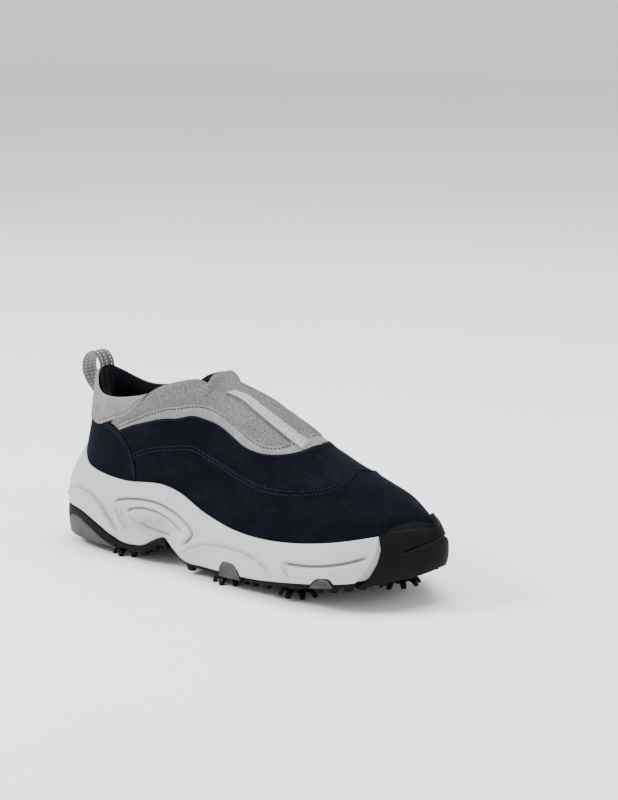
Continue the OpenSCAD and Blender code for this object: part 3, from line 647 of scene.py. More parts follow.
panels = {
    "counter": {"kind": "ring", "out": 0.1, "highEdge": {"rows": (2.0, 4.3), "lap": 0.9},
                "low": [[0, 0], [0.8, 0], [1.5, 0], [2.05, 0], [2.35, 0], [2.55, 0], [2.7, 0], [2.85, 0],
                        [2.95, 0], [3.05, 0], [3.15, 0], [3.25, 0]],
                "high": [[0, 0.62], [0.8, 0.63], [1.5, 0.655], [2.05, 0.7], [2.4, 0.715], [2.65, 0.685],
                         [2.88, 0.62], [3.07, 0.545], [3.2, 0.455], [3.28, 0.35], [3.34, 0.2],
                         [3.38, 0.06]]},
    "vamp": {"kind": "ridge", "out": 0.0, "highEdge": {"rows": (1.9, 4.3), "lap": 0.8, "bead": 0.25},
             "openTo": 0.75, "tuckEnd": 1.2,
             "low": [[3.1, 0], [3.6, 0], [4.1, 0], [4.6, 0], [5.1, 0], [5.6, 0], [6.1, 0], [6.5, 0],
                     [6.9, 0], [7.3, 0], [7.65, 0], [7.9, 0], [8.1, 0], [8.25, 0], [8.4, 0], [8.55, 0],
                     [8.8, 0], [9.1, 0], [9.4, 0], [9.7, 0], [10, 0]],
             "high": [[2.95, 0.48], [3.5, 0.53], [4, 0.525], [4.5, 0.485], [5, 0.44], [5.5, 0.425],
                      [6, 0.425], [6.4, 0.437], [6.85, 0.485], [7.3, 0.555], [7.65, 0.63], [7.93, 0.73],
                      [8.06, 0.82], [8.09, 0.89], [8.06, 0.955], [8.0, 1], [8.35, 1], [8.75, 1], [9.2, 1],
                      [9.6, 1], [10, 1]]},
    "apron": {"kind": "ridge", "out": -0.1, "highEdge": {"rows": (1.5,), "lap": 0.75, "bead": 0.15},
              "tuckEnd": 0.9,
              "low": [[2.8, 0.46], [3.3, 0.49], [3.8, 0.49], [4.3, 0.455], [4.8, 0.405], [5.3, 0.375],
                      [5.8, 0.37], [6.3, 0.385], [6.8, 0.43], [7.3, 0.5], [7.75, 0.6], [8.02, 0.72],
                      [8.1, 0.86], [7.98, 1]],
              "high": [[2.55, 0.64], [2.95, 0.7], [3.31, 0.72], [3.77, 0.713], [4.33, 0.663],
                       [4.76, 0.612], [5.14, 0.593], [5.57, 0.573], [5.9, 0.563], [6.24, 0.583],
                       [6.55, 0.64], [6.85, 0.737], [7.05, 0.85], [7.16, 1]]},
    "trim": {"kind": "ridge", "out": 0.0, "highEdge": {"rows": (2.4,), "round": 0.9, "bead": 0.45},
             "lowEdge": {"round": 1.1}, "crown": 0.2, "tuckEnd": 0.3,
             "low": [[2.5, 0.625], [2.95, 0.685], [3.31, 0.705], [3.77, 0.698], [4.33, 0.648], [4.76, 0.597],
                     [5.14, 0.578], [5.57, 0.558], [5.9, 0.548], [6.24, 0.568], [6.57, 0.627], [6.88, 0.727],
                     [7.08, 0.845], [7.19, 1]],
             "high": [[2.4, 0.665], [2.78, 0.73], [3.14, 0.782], [3.59, 0.807], [4.05, 0.783],
                      [4.48, 0.72], [4.9, 0.677], [5.4, 0.653], [5.83, 0.637], [6.2, 0.637],
                      [6.49, 0.685], [6.7, 0.77], [6.8, 0.86], [6.88, 1]]},
    "gore": {"out": 0.0, "highEdge": {"round": 1.2, "fold": 1.6}, "crown": 1.0, "tuckEnd": 0.5, "rise": 3.2,
             "low": [[2.3, 0.66], [3.14, 0.755], [3.59, 0.78], [4.05, 0.757], [4.48, 0.695],
                     [4.85, 0.655], [5.2, 0.63], [5.6, 0.61], [6, 0.61], [6.4, 0.645], [6.75, 0.75]],
             "high": [[2.6, 0.8], [2.95, 0.88], [3.25, 0.99], [3.8, 1], [4.28, 1], [4.62, 0.915],
                      [5.0, 0.81], [5.5, 0.79], [5.9, 0.79], [6.35, 0.8], [6.85, 0.81]]},
    "tab": {"kind": "ring", "out": 1.3, "thick": 2.4, "highEdge": {"round": 1.2, "fold": 1.0},
            "lowEdge": {"rows": (2.4,), "round": 0.8, "ragged": 0.5}, "crown": 0.5, "swell": 1.6,
            "low": [[0, 0.585], [0.8, 0.6], [1.5, 0.635], [2.05, 0.672], [2.49, 0.745], [2.88, 0.795],
                    [3.09, 0.87], [3.22, 0.955]],
            "high": [[0, 1], [0.5, 1], [1, 1], [1.5, 1], [2, 1], [2.5, 1], [2.95, 1], [3.32, 1]]},
}

for name, key, n, finish, node, slot, middle in (
        ("heelCounterCover", "counter", 150, "navySuede", "heel_counter_cover", "navy_suede", 14),
        ("vampPanel", "vamp", 240, "navySuede", "vamp_panel", "navy_suede", 20),
        ("apronPanel", "apron", 200, "navyNubuck", "apron_panel", "navy_nubuck", 14),
        ("instepTrim", "trim", 200, "greySuede", "instep_trim", "grey_suede", 4),
        ("gore.lateral", "lateral", 150, "textile", "instep_gore_lateral", "grey_textile", 14),
        ("gore.medial", "medial", 150, "textile", "instep_gore_medial", "grey_textile", 14),
        ("heelTab", "tab", 130, "greySuede", "heel_tab", "grey_suede", 14)):
    panel = panels[key] if key in panels else {**panels["gore"], "kind": key}
    panelPiece(name, panel, n, finishes[finish], [node], slot, middle=middle)
print("upper panels made")


# Tongue over the ridge, and the ribbon beside it.
tongue = {"from": 4.6, "to": 6.98, "side": 0.765, "thick": 1.4, "out": -0.7, "crown": 0.7,
          "peak": 4.4}
tt = np.linspace(tongue["from"], tongue["to"], 121)[:, None]
jj = np.linspace(-1, 1, 81)[None, :]
tongueV = 1 - np.abs(jj) * (1 - tongue["side"])
tongueSide = np.where(jj < 0, lateral, medial)
lipRound = 1.2 * (1 - ease((tt - tongue["from"]) / 0.05))
folds = 0.5 * np.sin(9 * tt + 2.2 * jj) * bell(tt - 4.9, 0.35)
peak = tongue["peak"] * bell(tt - 4.66, 0.24) * (1 - 0.6 * jj**2)  # the lip stands up at the throat
tongueOut = tongue["out"] + tongue["crown"] * np.cos(jj * np.pi / 2) - lipRound + folds + peak
outer = skin(tt, tongueV, tongueSide, tongueOut)
inner = skin(tt, tongueV, tongueSide, tongue["out"] - tongue["thick"] + 0.8 * peak)
tongueUv = np.stack(np.broadcast_arrays(tt * 3.5, jj * 3), -1)
shell("tongueGusset", outer, inner, finishes["textile"], uv=tongueUv, replaces=["tongue_gusset"],
      slot="grey_textile")

ribbon = {"low": [[5.08, 0.8], [5.6, 0.808], [6.1, 0.795], [6.6, 0.803], [7.0, 0.82]],
          "high": [[5.3, 0.85], [5.7, 0.872], [6.15, 0.88], [6.6, 0.905], [7.02, 0.94]],
          "kind": "lateral", "out": 1.35, "thick": 1.3, "crown": 0.1,
          "lowEdge": {"round": 0.45}, "highEdge": {"round": 0.45}}
panelPiece("centreRibbon", ribbon, 150, finishes["ribbon"], ["centre_ribbon"], "silver_ribbon", middle=6)

# Stitching.
rows = {
    "navyThread": [("counter", 2.0, True, (0.3, 0.97)), ("counter", 4.3, True, (0.3, 0.97)),
                   ("vamp", 1.9, True, (0.02, 0.748)), ("vamp", 4.3, True, (0.02, 0.748)),
                   ("apron", 1.5, True, (0.01, 1))],
    "darkThread": [("trim", 2.4, True, (0.03, 0.99))],
    "greyThread": [("tab", 2.4, False, (0, 1))],
}
for threadName, runs in rows.items():
    parts = []
    for key, distance, fromHigh, span in runs:
        size = {"wide": 1.0, "high": 0.75, "length": 1.5, "pitch": 2.7} if key == "trim" else {}
        parts += panelRow(panels[key], distance, fromHigh, span=span, **size)
    stitchMesh(threadName, parts, threadName, "navy_suede" if threadName == "navyThread" else "grey_suede")
parts = []
for distance in (1.3, 3.3, 5.3):
    parts += panelRow(ribbon, distance, False, n=200, pitch=2.1, length=1.5, wide=0.7, high=0.5)
stitchMesh("ribbon", parts, "whiteThread", "silver_ribbon")
print("stitching made")

# Linings.
collarEnd = 4.97  # station where the opening ends
ringT = np.abs(np.linspace(-collarEnd, collarEnd, 301))[:, None]
ringSide = np.where(np.linspace(-1, 1, 301) < 0, lateral, medial)[:, None]
up = np.linspace(0, 1, 46)[None, :]
inner = skin(ringT, up, ringSide, form["liningIn"] + 0 * ringT * up)
outer = skin(ringT, up, ringSide, form["liningOut"] + 0.6 * ease((up - 0.97) / 0.03) + 0 * ringT)
ringUv = np.stack(np.broadcast_arrays(ringT * 4 * ringSide, up * 9), -1)
shell("quarterLining", outer, inner, finishes["mesh"], uv=ringUv, replaces=["quarter_lining"],
      slot="lining_mesh")

frontT = np.linspace(4.99, 10, 121)[:, None]
arch = np.linspace(-1, 1, 81)[None, :]
archV, archSide = 1 - np.abs(arch), np.where(arch < 0, lateral, medial)
grids = [skin(frontT, archV, archSide, form[face] + 0 * frontT * archV)
         for face in ("liningOut", "liningIn")]
for g in grids:  # the two sides are one point at the toe's tip
    g[-1] = (g[-1] + g[-1, ::-1]) / 2
shell("vampLining", *grids, finishes["mesh"], uv=np.stack(np.broadcast_arrays(frontT * 4, arch * 9), -1),
      replaces=["vamp_lining"], slot="lining_mesh")

# Collar padding: a crowned roll inside the collar, tight at its top and foot, rolled over the edge.
pad = {"end": 4.62, "low": 0.64, "thick": 5.6, "count": 241}
s = np.linspace(-pad["end"], pad["end"], pad["count"])
padT, padSide = np.abs(s)[:, None], np.where(s < 0, lateral, medial)[:, None]
h = np.linspace(0, 1, 61)[None, :]
fade = ease((pad["end"] + 0.3 - padT) / 1.1)
puff = np.sin(np.pi * np.clip(h / 0.97, 0, 1)) ** 0.75
over = ease((h - 0.9) / 0.1)  # the turn towards the top edge
rise = pad["low"] + (0.985 - pad["low"]) * np.clip(h / 0.93, 0, 1)
depth = form["liningIn"] - 0.35 - pad["thick"] * puff * (0.3 + 0.7 * fade) * (1 - 0.7 * over)
inner = skin(padT, rise, padSide, depth * (1 - over) - 3.0 * over)
outer = skin(padT, np.minimum(rise, 0.995), padSide, form["liningIn"] - 0.25 + 1.0 * over + 0 * depth)
padUv = np.stack(np.broadcast_arrays(s[:, None] * 4, h * 5), -1)
padPiece = shell("collarPadding", inner, outer, finishes["mesh"], uv=padUv, replaces=["collar_padding"],
                 slot="lining_mesh")

strip = np.linspace(-0.75, 0.75, 61)
stripT, stripSide = np.abs(strip)[:, None], np.where(strip < 0, lateral, medial)[:, None]
stripH = np.linspace(0.02, 0.93, 61)[None, :]
stripRise = pad["low"] + (0.985 - pad["low"]) * np.clip(stripH / 0.93, 0, 1)
stripDepth = form["liningIn"] - 0.35 - pad["thick"] * np.sin(np.pi * stripH / 0.97) ** 0.75
edge = 0.5 * np.sqrt(np.clip(1 - (strip / 0.76) ** 8, 0, 1))[:, None]
a = skin(stripT, stripRise, stripSide, stripDepth - 0.15 - edge)
b = skin(stripT, stripRise, stripSide, stripDepth + 0.3 + 0 * edge)
shell("heelStrip", a, b, finishes["navyNubuck"], slot="navy_nubuck")

# Footbed and what lies under it.
footbed = {"from": 0.12, "to": 9.86,  # its side in section is mm in from the foot line, and mm up
           "section": [(6.6, 2.3), (5.4, 3.2), (4.9, 5.0), (5.0, 6.6), (5.6, 7.3), (6.8, 7.4), (8.6, 6.9),
                       (11.5, 6.5)]}


def footbedColumn(t, side):  # the side of the footbed in section, from below to its top
    return np.stack([bed(t[:, 0], side[:, 0], inset, rise) for inset, rise in footbed["section"]], 1)


def footbedRing(t):  # up one side, over the dished top, down the other and back under
    one, two = (footbedColumn(t[:, None], np.full((len(t), 1), k)) for k in (medial, lateral))
    w = np.linspace(0, 1, 16)[1:-1][None, :, None]
    dish = np.zeros((len(t), 14, 3))
    # hollowed under the heel, a little raised behind the ball
    lift = 0.8 * bell(t - 7, 0.8) - 1.1 * ease((6.2 - t) / 3)
    dish[..., 2] = np.sin(np.pi * w[..., 0]) * lift[:, None]
    top = one[:, -1:] * (1 - w) + two[:, -1:] * w + dish
    under = two[:, :1] * (1 - w) + one[:, :1] * w
    return np.concatenate([one, top, two[:, ::-1], under], 1)


points, faces = loftMesh(footbedRing(np.linspace(footbed["from"], footbed["to"], 161)))
footbedPiece = build("sockliner", points, faces, finishes["mesh"], replaces=["sockliner"],
                     slot="sockliner_cloth")
for node, finish in (("insole_board", "board"), ("counter_stiffener", "board"), ("toe_puff", "board"),
                     ("shank", "steel"), ("receptacles", "nylon")):
    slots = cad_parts[node].data.materials
    slots.clear()
    slots.append(finishes[finish])
print("linings and footbed made")

# Pull loop.
loop = {"line": [[-132.9, 118], [-132.53, 124], [-133, 131], [-137.5, 136.8], [-144, 136.2], [-148.5, 130],
                 [-149, 122], [-145, 114], [-139.6, 108], [-139, 102]],
        "wide": 15, "thick": 1.1, "curve": 0.034, "middle": 3}
u = np.linspace(0, 1, 181)
line = along(loop["line"], u, 0, 1, False)
d = np.gradient(line, axis=0)
n2 = unit(np.stack([-d[:, 1], d[:, 0]], -1))
y = np.linspace(-1, 1, 33) * loop["wide"] / 2
selvedge = 0.45 * np.sqrt(np.clip(1 - (np.abs(y) / (loop["wide"] / 2)) ** 6, 0, 1))[None, :]
bend = (loop["curve"] * np.abs(2 * u - 1) ** 2)[:, None] * y[None, :] ** 2


def loopFace(out):  # the strap's middle line carried across its width, moved out of it
    p = line[:, None, :] + n2[:, None, :] * out[..., None]
    return np.stack([p[..., 0] + bend, loop["middle"] + y[None, :] + 0 * bend, p[..., 1]], -1)


loopUv = np.stack(np.broadcast_arrays(u[:, None] * 8, y[None, :] / 10), -1)
zero = 0 * bend
shell("pullLoop.outer", loopFace(selvedge + 0.1 + zero), loopFace(zero + 0.02),
      finishes["loopOuter"], uv=loopUv, replaces=["pull_loop"], slot="loop_webbing")
shell("pullLoop.inner", loopFace(zero - 0.02), loopFace(-selvedge - 0.1 + zero),
      finishes["loopInner"], uv=loopUv, slot="loop_webbing")
parts = []
for row in (-4.6, 0.0, 4.6):
    k = int(np.argmin(np.abs(y - row)))
    for out in (0.62, -0.62):
        g = loopFace(np.full_like(bend, out))[:, k]
        g2 = loopFace(np.full_like(bend, out * 2))[:, k]
        parts.append(stitches(g, g2 - g, pitch=2.6, length=1.3, wide=0.9, high=0.45, skip=10))
stitchMesh("loop", parts, "whiteThread", "loop_webbing")

# Midsole.
midsole = {
    "grooves": [  # lines pressed into the wall, as x and z, with depth and width in mm
        ([[-89, 38], [-87, 42], [-80, 44], [-70, 45.5], [-60, 46.3], [-50, 46], [-40, 44.2], [-30, 41],
          [-21, 36.4], [-16, 32.6], [-15, 29.5], [-19, 25], [-25, 19.8]], 2.6, 1.05),
        ([[-76, 34.5], [-75, 37.4], [-68, 39.4], [-60, 40.2], [-50, 39.5], [-41, 37.3], [-33, 34.2],
          [-24, 29.7]], 2.3, 1.0),
        ([[71, 28], [86, 28.4], [96, 29.4], [107, 31.2], [118, 33.8], [129, 37.6]], 2.6, 1.1),
        ([[-67, 30], [-65, 28], [-60, 26], [-53, 24.6], [-46, 24.2], [-38, 25]], 1.5, 0.9),
    ],
    "steps": [  # the wall stands out below these lines, as a soft ledge
        ([[-152, 33], [-143, 38.5], [-133, 42.6], [-124, 43.4], [-115, 42], [-108, 39.2], [-102, 34.9],
          [-97, 30.3], [-91, 23.9], [-86, 17.5]], 3.2, 9),
        ([[-27, 11.5], [-20, 17], [-11, 21.8], [0, 25.4], [13, 27.6], [25, 28.2], [36, 27.8], [47, 26],
          [56, 22.8], [65, 17.6]], 3.2, 8),
        ([[71, 27.5], [74, 24.5], [78, 19.5]], 1.8, 5),
        ([[-89, 38.5], [-86, 34], [-82, 28], [-77, 22.5]], 2.2, 4),
        ([[-83, 36.6], [-80, 31], [-76, 25.5]], 1.8, 4),
        ([[-75.5, 34.5], [-73, 31.5], [-69, 28]], 1.6, 3),
    ],
    "hollow": {"x": -52, "z": 27, "long": 17, "high": 9, "deep": 4.2},
    "bumperFoot": 8.3,
}


def lineField(points, x, z):
    # Distance of each point to a smooth line, which side of it that is, and the share along it.
    c = along(points, np.linspace(0, 1, 50), 0, 1, False)
    best, sign, share = np.full(x.shape, 1e9), np.zeros(x.shape), np.zeros(x.shape)
    for k in range(len(c) - 1):
        a, b = c[k], c[k + 1]
        d = b - a
        h = np.clip(((x - a[0]) * d[0] + (z - a[1]) * d[1]) / (d @ d), 0, 1)
        ex, ez = x - a[0] - h * d[0], z - a[1] - h * d[1]
        r = np.hypot(ex, ez)
        near = r < best
        best = np.where(near, r, best)
        sign = np.where(near, np.sign(d[0] * ez - d[1] * ex), sign)
        share = np.where(near, (k + h) / (len(c) - 1), share)
    return best, sign, share


def wallRelief(x, z):  # the relief, and the painted shade at each point: dark in the grooves, along the ledges and in the hollow
    r, down = np.zeros_like(x), np.zeros_like(x)
    for points, deep, wide in midsole["grooves"]:
        d, sign, share = lineField(points, x, z)
        line = bell(d, wide) * ease(share / 0.08) * ease((1 - share) / 0.08 + 0.2)
        r -= deep * line
        # painted shade, deepest down the middle of a groove
        down = np.maximum(down, 0.85 * line**2)
    for points, high, length in midsole["steps"]:
        d, sign, share = lineField(points, x, z)
        ends = ease(share / 0.2 + 0.15) * ease((1 - share) / 0.15 + 0.1)
        below = np.where(sign < 0, np.exp(-d / length), 0) * ease((-sign * d + 0.6) / 1.2)
        r += high * below * ends + 0.25 * bell(d, 0.9) * ends
        # painted shade along the upper side of each ledge's line
        down = np.maximum(down, 0.16 * high * bell(d + sign * 1.2 - 1.2, 1.6) * (sign > 0) * ends)
    h = midsole["hollow"]
    q = ((x - h["x"]) / h["long"]) ** 2 + ((z - h["z"] - 0.12 * (x - h["x"])) / h["high"]) ** 2
    # painted shade in the hollow as well
    return r - h["deep"] * np.exp(-q**1.6), np.maximum(down, 0.25 * np.exp(-q**1.6))


bumper = {"start": 8.84, "top": [0.27, 0.385, 0.46, 0.54, 0.59, 0.61, 0.61], "grooveZ": [37, 40.5, 44, 46.5],
          "grooveDeep": 1.4}


def bumperLine(w):  # station where the bumper starts, slanting back towards the ground
    return midsole["bumperFoot"] + (bumper["start"] - midsole["bumperFoot"]) * (1 - (1 - w) ** 1.5)


def ringStations(n, a=0.0, b=10.0):
    t = np.concatenate([np.linspace(a, b, n), np.linspace(b, a, n)[1:-1]])
    return t[:, None], np.where(np.arange(len(t)) < n, lateral, medial)[:, None]


wallRows = 62
t, side = ringStations(440)
# a little more room for stations near the two ends, where the outline turns
t = 10 * (0.5 - 0.5 * np.cos(np.pi * t / 10)) * 0.55 + t * 0.45
w = np.linspace(0, 1, wallRows)[None, :]
step = form["bumperT"] + 0.3
inset = step * ease((t - bumperLine(w)) / 0.02 + 0.5)
base = wall(t, w, side, inset)
flatOut = outward("plan", t + 0 * w, side + 0 * w)
show = 1 - ease((t - bumperLine(w) + 0.12) / 0.1)
# down is the painted shade for the foam's colour, none where the bumper covers the wall
push, down = [a * show for a in wallRelief(base[..., 0], base[..., 2])]
push -= 0.9 * edgeRound(w * 26, 1)  # rounded lower edge
outerWall = base + flatOut * push[..., None]
rimRows = 9
a = np.linspace(0, np.pi / 2, rimRows)[1:][None, :]
v1 = along(form["rimV"], t)
lipOut = form["rimOut"] - ease((t - bumper["start"]) / 0.02 + 0.5) * 0.6
rimOut = 0.35 + (lipOut - 0.35) * np.cos(a)
rimTop = skin(t + 0 * a, v1 + 0.012 * np.sin(a), side + 0 * a, rimOut)
k = np.linspace(0.97, 0.25, 6)[None, :]
inner = skin(t + 0 * k, v1 * k, side + 0 * k, 0.35 + 0 * k * t)
body = np.concatenate([outerWall, rimTop, inner], 1)
# no painted shade on the rim and the inner rows
down = np.concatenate([down, np.zeros((len(body), body.shape[1] - wallRows))], 1)
n, m = body.shape[:2]
half = n // 2
faces = [gridFaces(n, m, True)]
i = np.arange(half)
for j in (0, m - 1):
    caps = np.stack([i * m + j, (i + 1) * m + j, ((n - i - 1) % n) * m + j, ((n - i) % n) * m + j], -1)
    faces.append(caps)
# the painted shade goes onto the mesh as the paintedShade attribute
build("midsole", body, np.concatenate(faces), finishes["foam"], replaces=["midsole"],
      slot="white_eva", sharp=50, paintedShade=down)
print("midsole made", n * m)

# Toe bumper.
def bumperFace(c, r, side, isInner):
    # Column from under the sole up its wall and over the toe: eight rows joined by a curve.
    knotsW = np.array([0.1, 0.4, 0.7, 1.0])
    starts = [midsole["bumperFoot"], *bumperLine(knotsW[1:] * 0.98), bumper["start"], bumper["start"] + 0.04]
    start = np.interp(r, [0, 0.14, 0.29, 0.43, 0.57, 1], starts)
    t = start + (10 - start) * c
    v0, v1 = along(form["rimV"], t), along(bumper["top"], t, bumper["start"], 10)
    z0 = along(form["soleZ"], t) - form["plateT"]
    rows = [inside(t, side, form["bumperT"] + 2 if isInner else 3.0, z0)]
    rows += [wall(t, k + 0 * t, side, form["bumperT"] if isInner else 0.0,
                  1.9 if isInner else form["bumperT"] + 0.6) for k in knotsW]
    rows += [skin(t, v0 + (v1 - v0) * k, side + 0 * t, (0.35 if isInner else form["bumperT"] - 0.2) + 0 * t)
             for k in (0.35, 0.7, 1.0)]
    g = np.stack(rows)
    s = r * (len(rows) - 1)
    i = np.clip(np.floor(s).astype(int), 0, len(rows) - 2)
    f = (s - i)[..., None]

    def row(step):  # the row that is some steps on from each point's own
        pick = np.clip(i + step, 0, len(rows) - 1)[None, ..., None]
        return np.take_along_axis(g, np.broadcast_to(pick, (1, *g.shape[1:])), 0)[0]

    p0, p1, p2, p3 = row(-1), row(0), row(1), row(2)
    return 0.5 * (2 * p1 + (p2 - p0) * f + (2 * p0 - 5 * p1 + 4 * p2 - p3) * f**2
                  + (3 * p1 - p0 - 3 * p2 + p3) * f**3), t


count = 141
c = 1 - np.abs(np.linspace(-1, 1, 2 * count - 1))[:, None]
side = np.where(np.arange(2 * count - 1) < count, lateral, medial)[:, None]
r = np.linspace(0, 1, 71)[None, :]
c, r, side = [np.array(x) for x in np.broadcast_arrays(c, r, side)]
outer, t = bumperFace(c, r, side, False)
inner, _ = bumperFace(c, r, side, True)
normal = unit(outer - inner)
grooveZ = along(bumper["grooveZ"], t, 8.9, 10, False)
push = -bumper["grooveDeep"] * bell(outer[..., 2] - grooveZ, 0.8) * ease((t - 9.1) / 0.15)
push -= 0.8 * edgeRound(c * 60, 1) + 1.5 * edgeRound((1 - r) * 22, 1)  # its ends and its top edge
push += 0.5 * bell(outer[..., 2] - grooveZ + 3.5, 3.0) * ease((t - 8.9) / 0.3)
outer = outer + normal * push[..., None]
shell("toeBumper", outer, inner, finishes["rubber"], replaces=["toe_bumper"], slot="black_rubber")
print("bumper made")


# Outsoles.
def widthRing(t, columnOf, gap=10):
    # Ring of points round the sole's section: up one side, across, down the other and back under.
    one, two = columnOf(t, np.full(t.shape, medial)), columnOf(t, np.full(t.shape, lateral))
    w = np.linspace(0, 1, gap + 2)[1:-1][None, :, None]
    over = one[:, -1:] * (1 - w) + two[:, -1:] * w
    under = two[:, :1] * (1 - w) + one[:, :1] * w
    return np.concatenate([one, over, two[:, ::-1], under], 1)


def heelLow(t):  # underside: bevelled at the back, rising into the waist
    return np.maximum(6 + 5 * ease((1.6 - t) / 1.6), np.where(t > 3, along(form["soleZ"], t) - 5, 0))


def heelColumn(t, side):
    # The heel's side in section, cut in below the crescent where the grey insert sits.
    cut = ((t > 0.9) & (t < 2.9)).astype(float)
    z0, top = heelLow(t), wall(t, 0 * t, side)
    z1 = np.where(cut > 0, along(form["crescentZ"], t, 0.9, 2.9), (z0 + top[:, 2]) / 2)
    deep = 4 * cut
    rows = [inside(t, side, 4.2 + deep, z0), inside(t, side, 3.2 + deep, z0 + 0.9),
            inside(t, side, 2.4 + deep, z0 * 0.4 + z1 * 0.6), inside(t, side, 2.2 + deep, z1),
            inside(t, side, 1.2, z1 + 0.06), inside(t, side, 0.9, z1 * 0.5 + top[:, 2] * 0.5),
            inside(t, side, 1.2, top[:, 2] - 0.5), top - [0, 0, 0.1]]
    return np.stack(rows, 1)


def drilled(piece, holes):
    # Round holes for the sockets, cut through the plate.
    parts = []
    a = np.linspace(0, 2 * np.pi, 49)[:-1]
    for x, y, z0, z1, slope in holes:
        g = np.stack([np.stack([holeRadius * np.cos(a), holeRadius * np.sin(a), 0 * a + z], -1)
                      for z in (z0, z1)])
        parts.append(loftMesh(tilted(g, slope, [x, y, 0])))
    points, faces = joined(parts)
    mesh = bpy.data.meshes.new("drill")
    mesh.from_pydata((points * mm).tolist(), [], faces)
    work = bmesh.new()
    work.from_mesh(mesh)
    bmesh.ops.recalc_face_normals(work, faces=work.faces)
    work.to_mesh(mesh)
    work.free()
    drill = bpy.data.objects.new("drill", mesh)
    bpy.context.scene.collection.objects.link(drill)
    cut = piece.modifiers.new("holes", "BOOLEAN")
    cut.object, cut.operation, cut.solver = drill, "DIFFERENCE", "EXACT"
    done = bpy.data.meshes.new_from_object(piece.evaluated_get(bpy.context.evaluated_depsgraph_get()))
    piece.modifiers.clear()
    piece.data = done
    bpy.data.objects.remove(drill)


# each spike's place, the height of its seat, and its slope in degrees
places = {"heel_lateral": (-88, -22, 6, 0), "heel_medial": (-88, 27, 6, 0), "mid_lateral": (13, -33, 6, 0),
          "mid_medial": (17, 29, 6, 0), "ball_lateral": (71, -35, 8, 0), "ball_medial": (75, 35, 8, 0),
          "toe": (124, 7, 13.4, 7)}
holeRadius = 10.2
stations = np.concatenate([np.linspace(0.03, 0.89, 30), np.linspace(0.905, 2.895, 70),
                           np.linspace(2.91, 4.1, 40)])
points, faces = loftMesh(widthRing(stations, heelColumn))
heel = build("heelOutsole", points, faces, finishes["rubber"], replaces=["heel_outsole"],
             slot="black_rubber", sharp=32)
drilled(heel, [(*places[k][:2], 0, 12.4, 0) for k in ("heel_lateral", "heel_medial")])


def plateColumn(t, side):  # the forefoot plate's side in section
    z = along(form["soleZ"], t)
    toe = ease((t - 8.15) / 0.4) * 2.2
    section = ((5.6, 3.5), (4.6, 3.1), (3.9, 2.2), (3.2, 0.4), (3.4, 0.15))  # mm in, and mm down
    return np.stack([inside(t, side, inset + toe, z - down) for inset, down in section], 1)


def block(centre, size, chamfer=1.0, taper=0.8, turnBy=0.0, slope=0.0):
    # Tapered block with chamfered edges: four rings of eight points.
    rings = []
    for z, s in ((size[2], 1.0), (0.9, taper), (0.25, taper * 0.94), (0.0, taper * 0.8)):
        x, y = size[0] / 2 * s, size[1] / 2 * s
        c = min(chamfer, x * 0.6, y * 0.6)
        rings.append([[x, y - c, z], [x - c, y, z], [c - x, y, z], [-x, y - c, z], [-x, c - y, z],
                      [c - x, -y, z], [x - c, -y, z], [x, c - y, z]])
    g = turned(np.array(rings), turnBy)
    g[..., 2] += g[..., 0] * slope
    return loftMesh(g + np.asarray(centre))


stations = np.linspace(4.42, 9.86, 150)
plate = loftMesh(widthRing(stations, plateColumn))
plateObject = build("forefootOutsole", *plate, finishes["rubber"], replaces=["forefoot_outsole"],
                    slot="black_rubber", sharp=32)
holes = [(*places[k][:2], 0, 24, 0) for k in ("mid_lateral", "mid_medial", "ball_lateral", "ball_medial")]
drilled(plateObject, holes + [(*places["toe"][:2], 0, 30, places["toe"][3])])

# each lug's station, side, and mm in from the outline
lugs = {"fore": [[4.62, -1, 7], [4.62, 1, 7], [4.72, -1, 40], [4.98, -1, 14], [5.05, 1, 16], [5.3, -1, 7],
                 [5.3, 1, 7], [6.1, -1, 7.5], [6.1, 1, 7.5], [6.42, -1, 7.5], [6.42, 1, 7.5],
                 [6.75, -1, 7.5], [6.75, 1, 7.5], [6.3, -1, 32], [6.4, 1, 30], [6, -1, 52],
                 [7.55, -1, 8], [7.6, 1, 8], [7.85, -1, 8], [7.9, 1, 8], [8.15, -1, 8], [8.2, 1, 8],
                 [7.4, -1, 34], [7.5, 1, 32], [8.45, -1, 8.5], [8.5, 1, 8.5], [8.9, -1, 9],
                 [8.95, 1, 9], [9.4, -1, 10], [9.45, 1, 10], [9.8, 1, 11]],
        "heel": [[3.25, -1, 6.5], [3.5, -1, 6.5], [3.75, -1, 6.5], [3.98, -1, 6.5], [3.25, 1, 6.5],
                 [3.5, 1, 6.5], [3.75, 1, 6.5], [3.98, 1, 6.5], [2.25, -1, 30], [0.5, 1, 14],
                 [0.5, -1, 14]],
        "foreSize": (7, 6, 3.9), "heelSize": (5.5, 4.6, 3.2), "foreDrop": 2.8, "heelDrop": 2.4}


def lugBlocks(spots, size, footOf):  # blocks square to the outline, at the heights of footOf
    parts = []
    for t0, sd, inset in spots:
        t, side = np.array([t0]), np.array([sd])
        n = outward("plan", t, side)[0]
        parts.append(block(inside(t, side, inset, footOf(t))[0], size,
                           turnBy=math.atan2(n[1], n[0]) + math.pi / 2))
    return parts


parts = lugBlocks(lugs["fore"], lugs["foreSize"],
                  lambda t: along(form["soleZ"], t) - form["plateT"] - lugs["foreDrop"])
parts += lugBlocks(lugs["heel"], lugs["heelSize"], lambda t: heelLow(t) - lugs["heelDrop"])
build("treadLugs", *joined(parts), finishes["rubber"], slot="black_rubber", sharp=25)


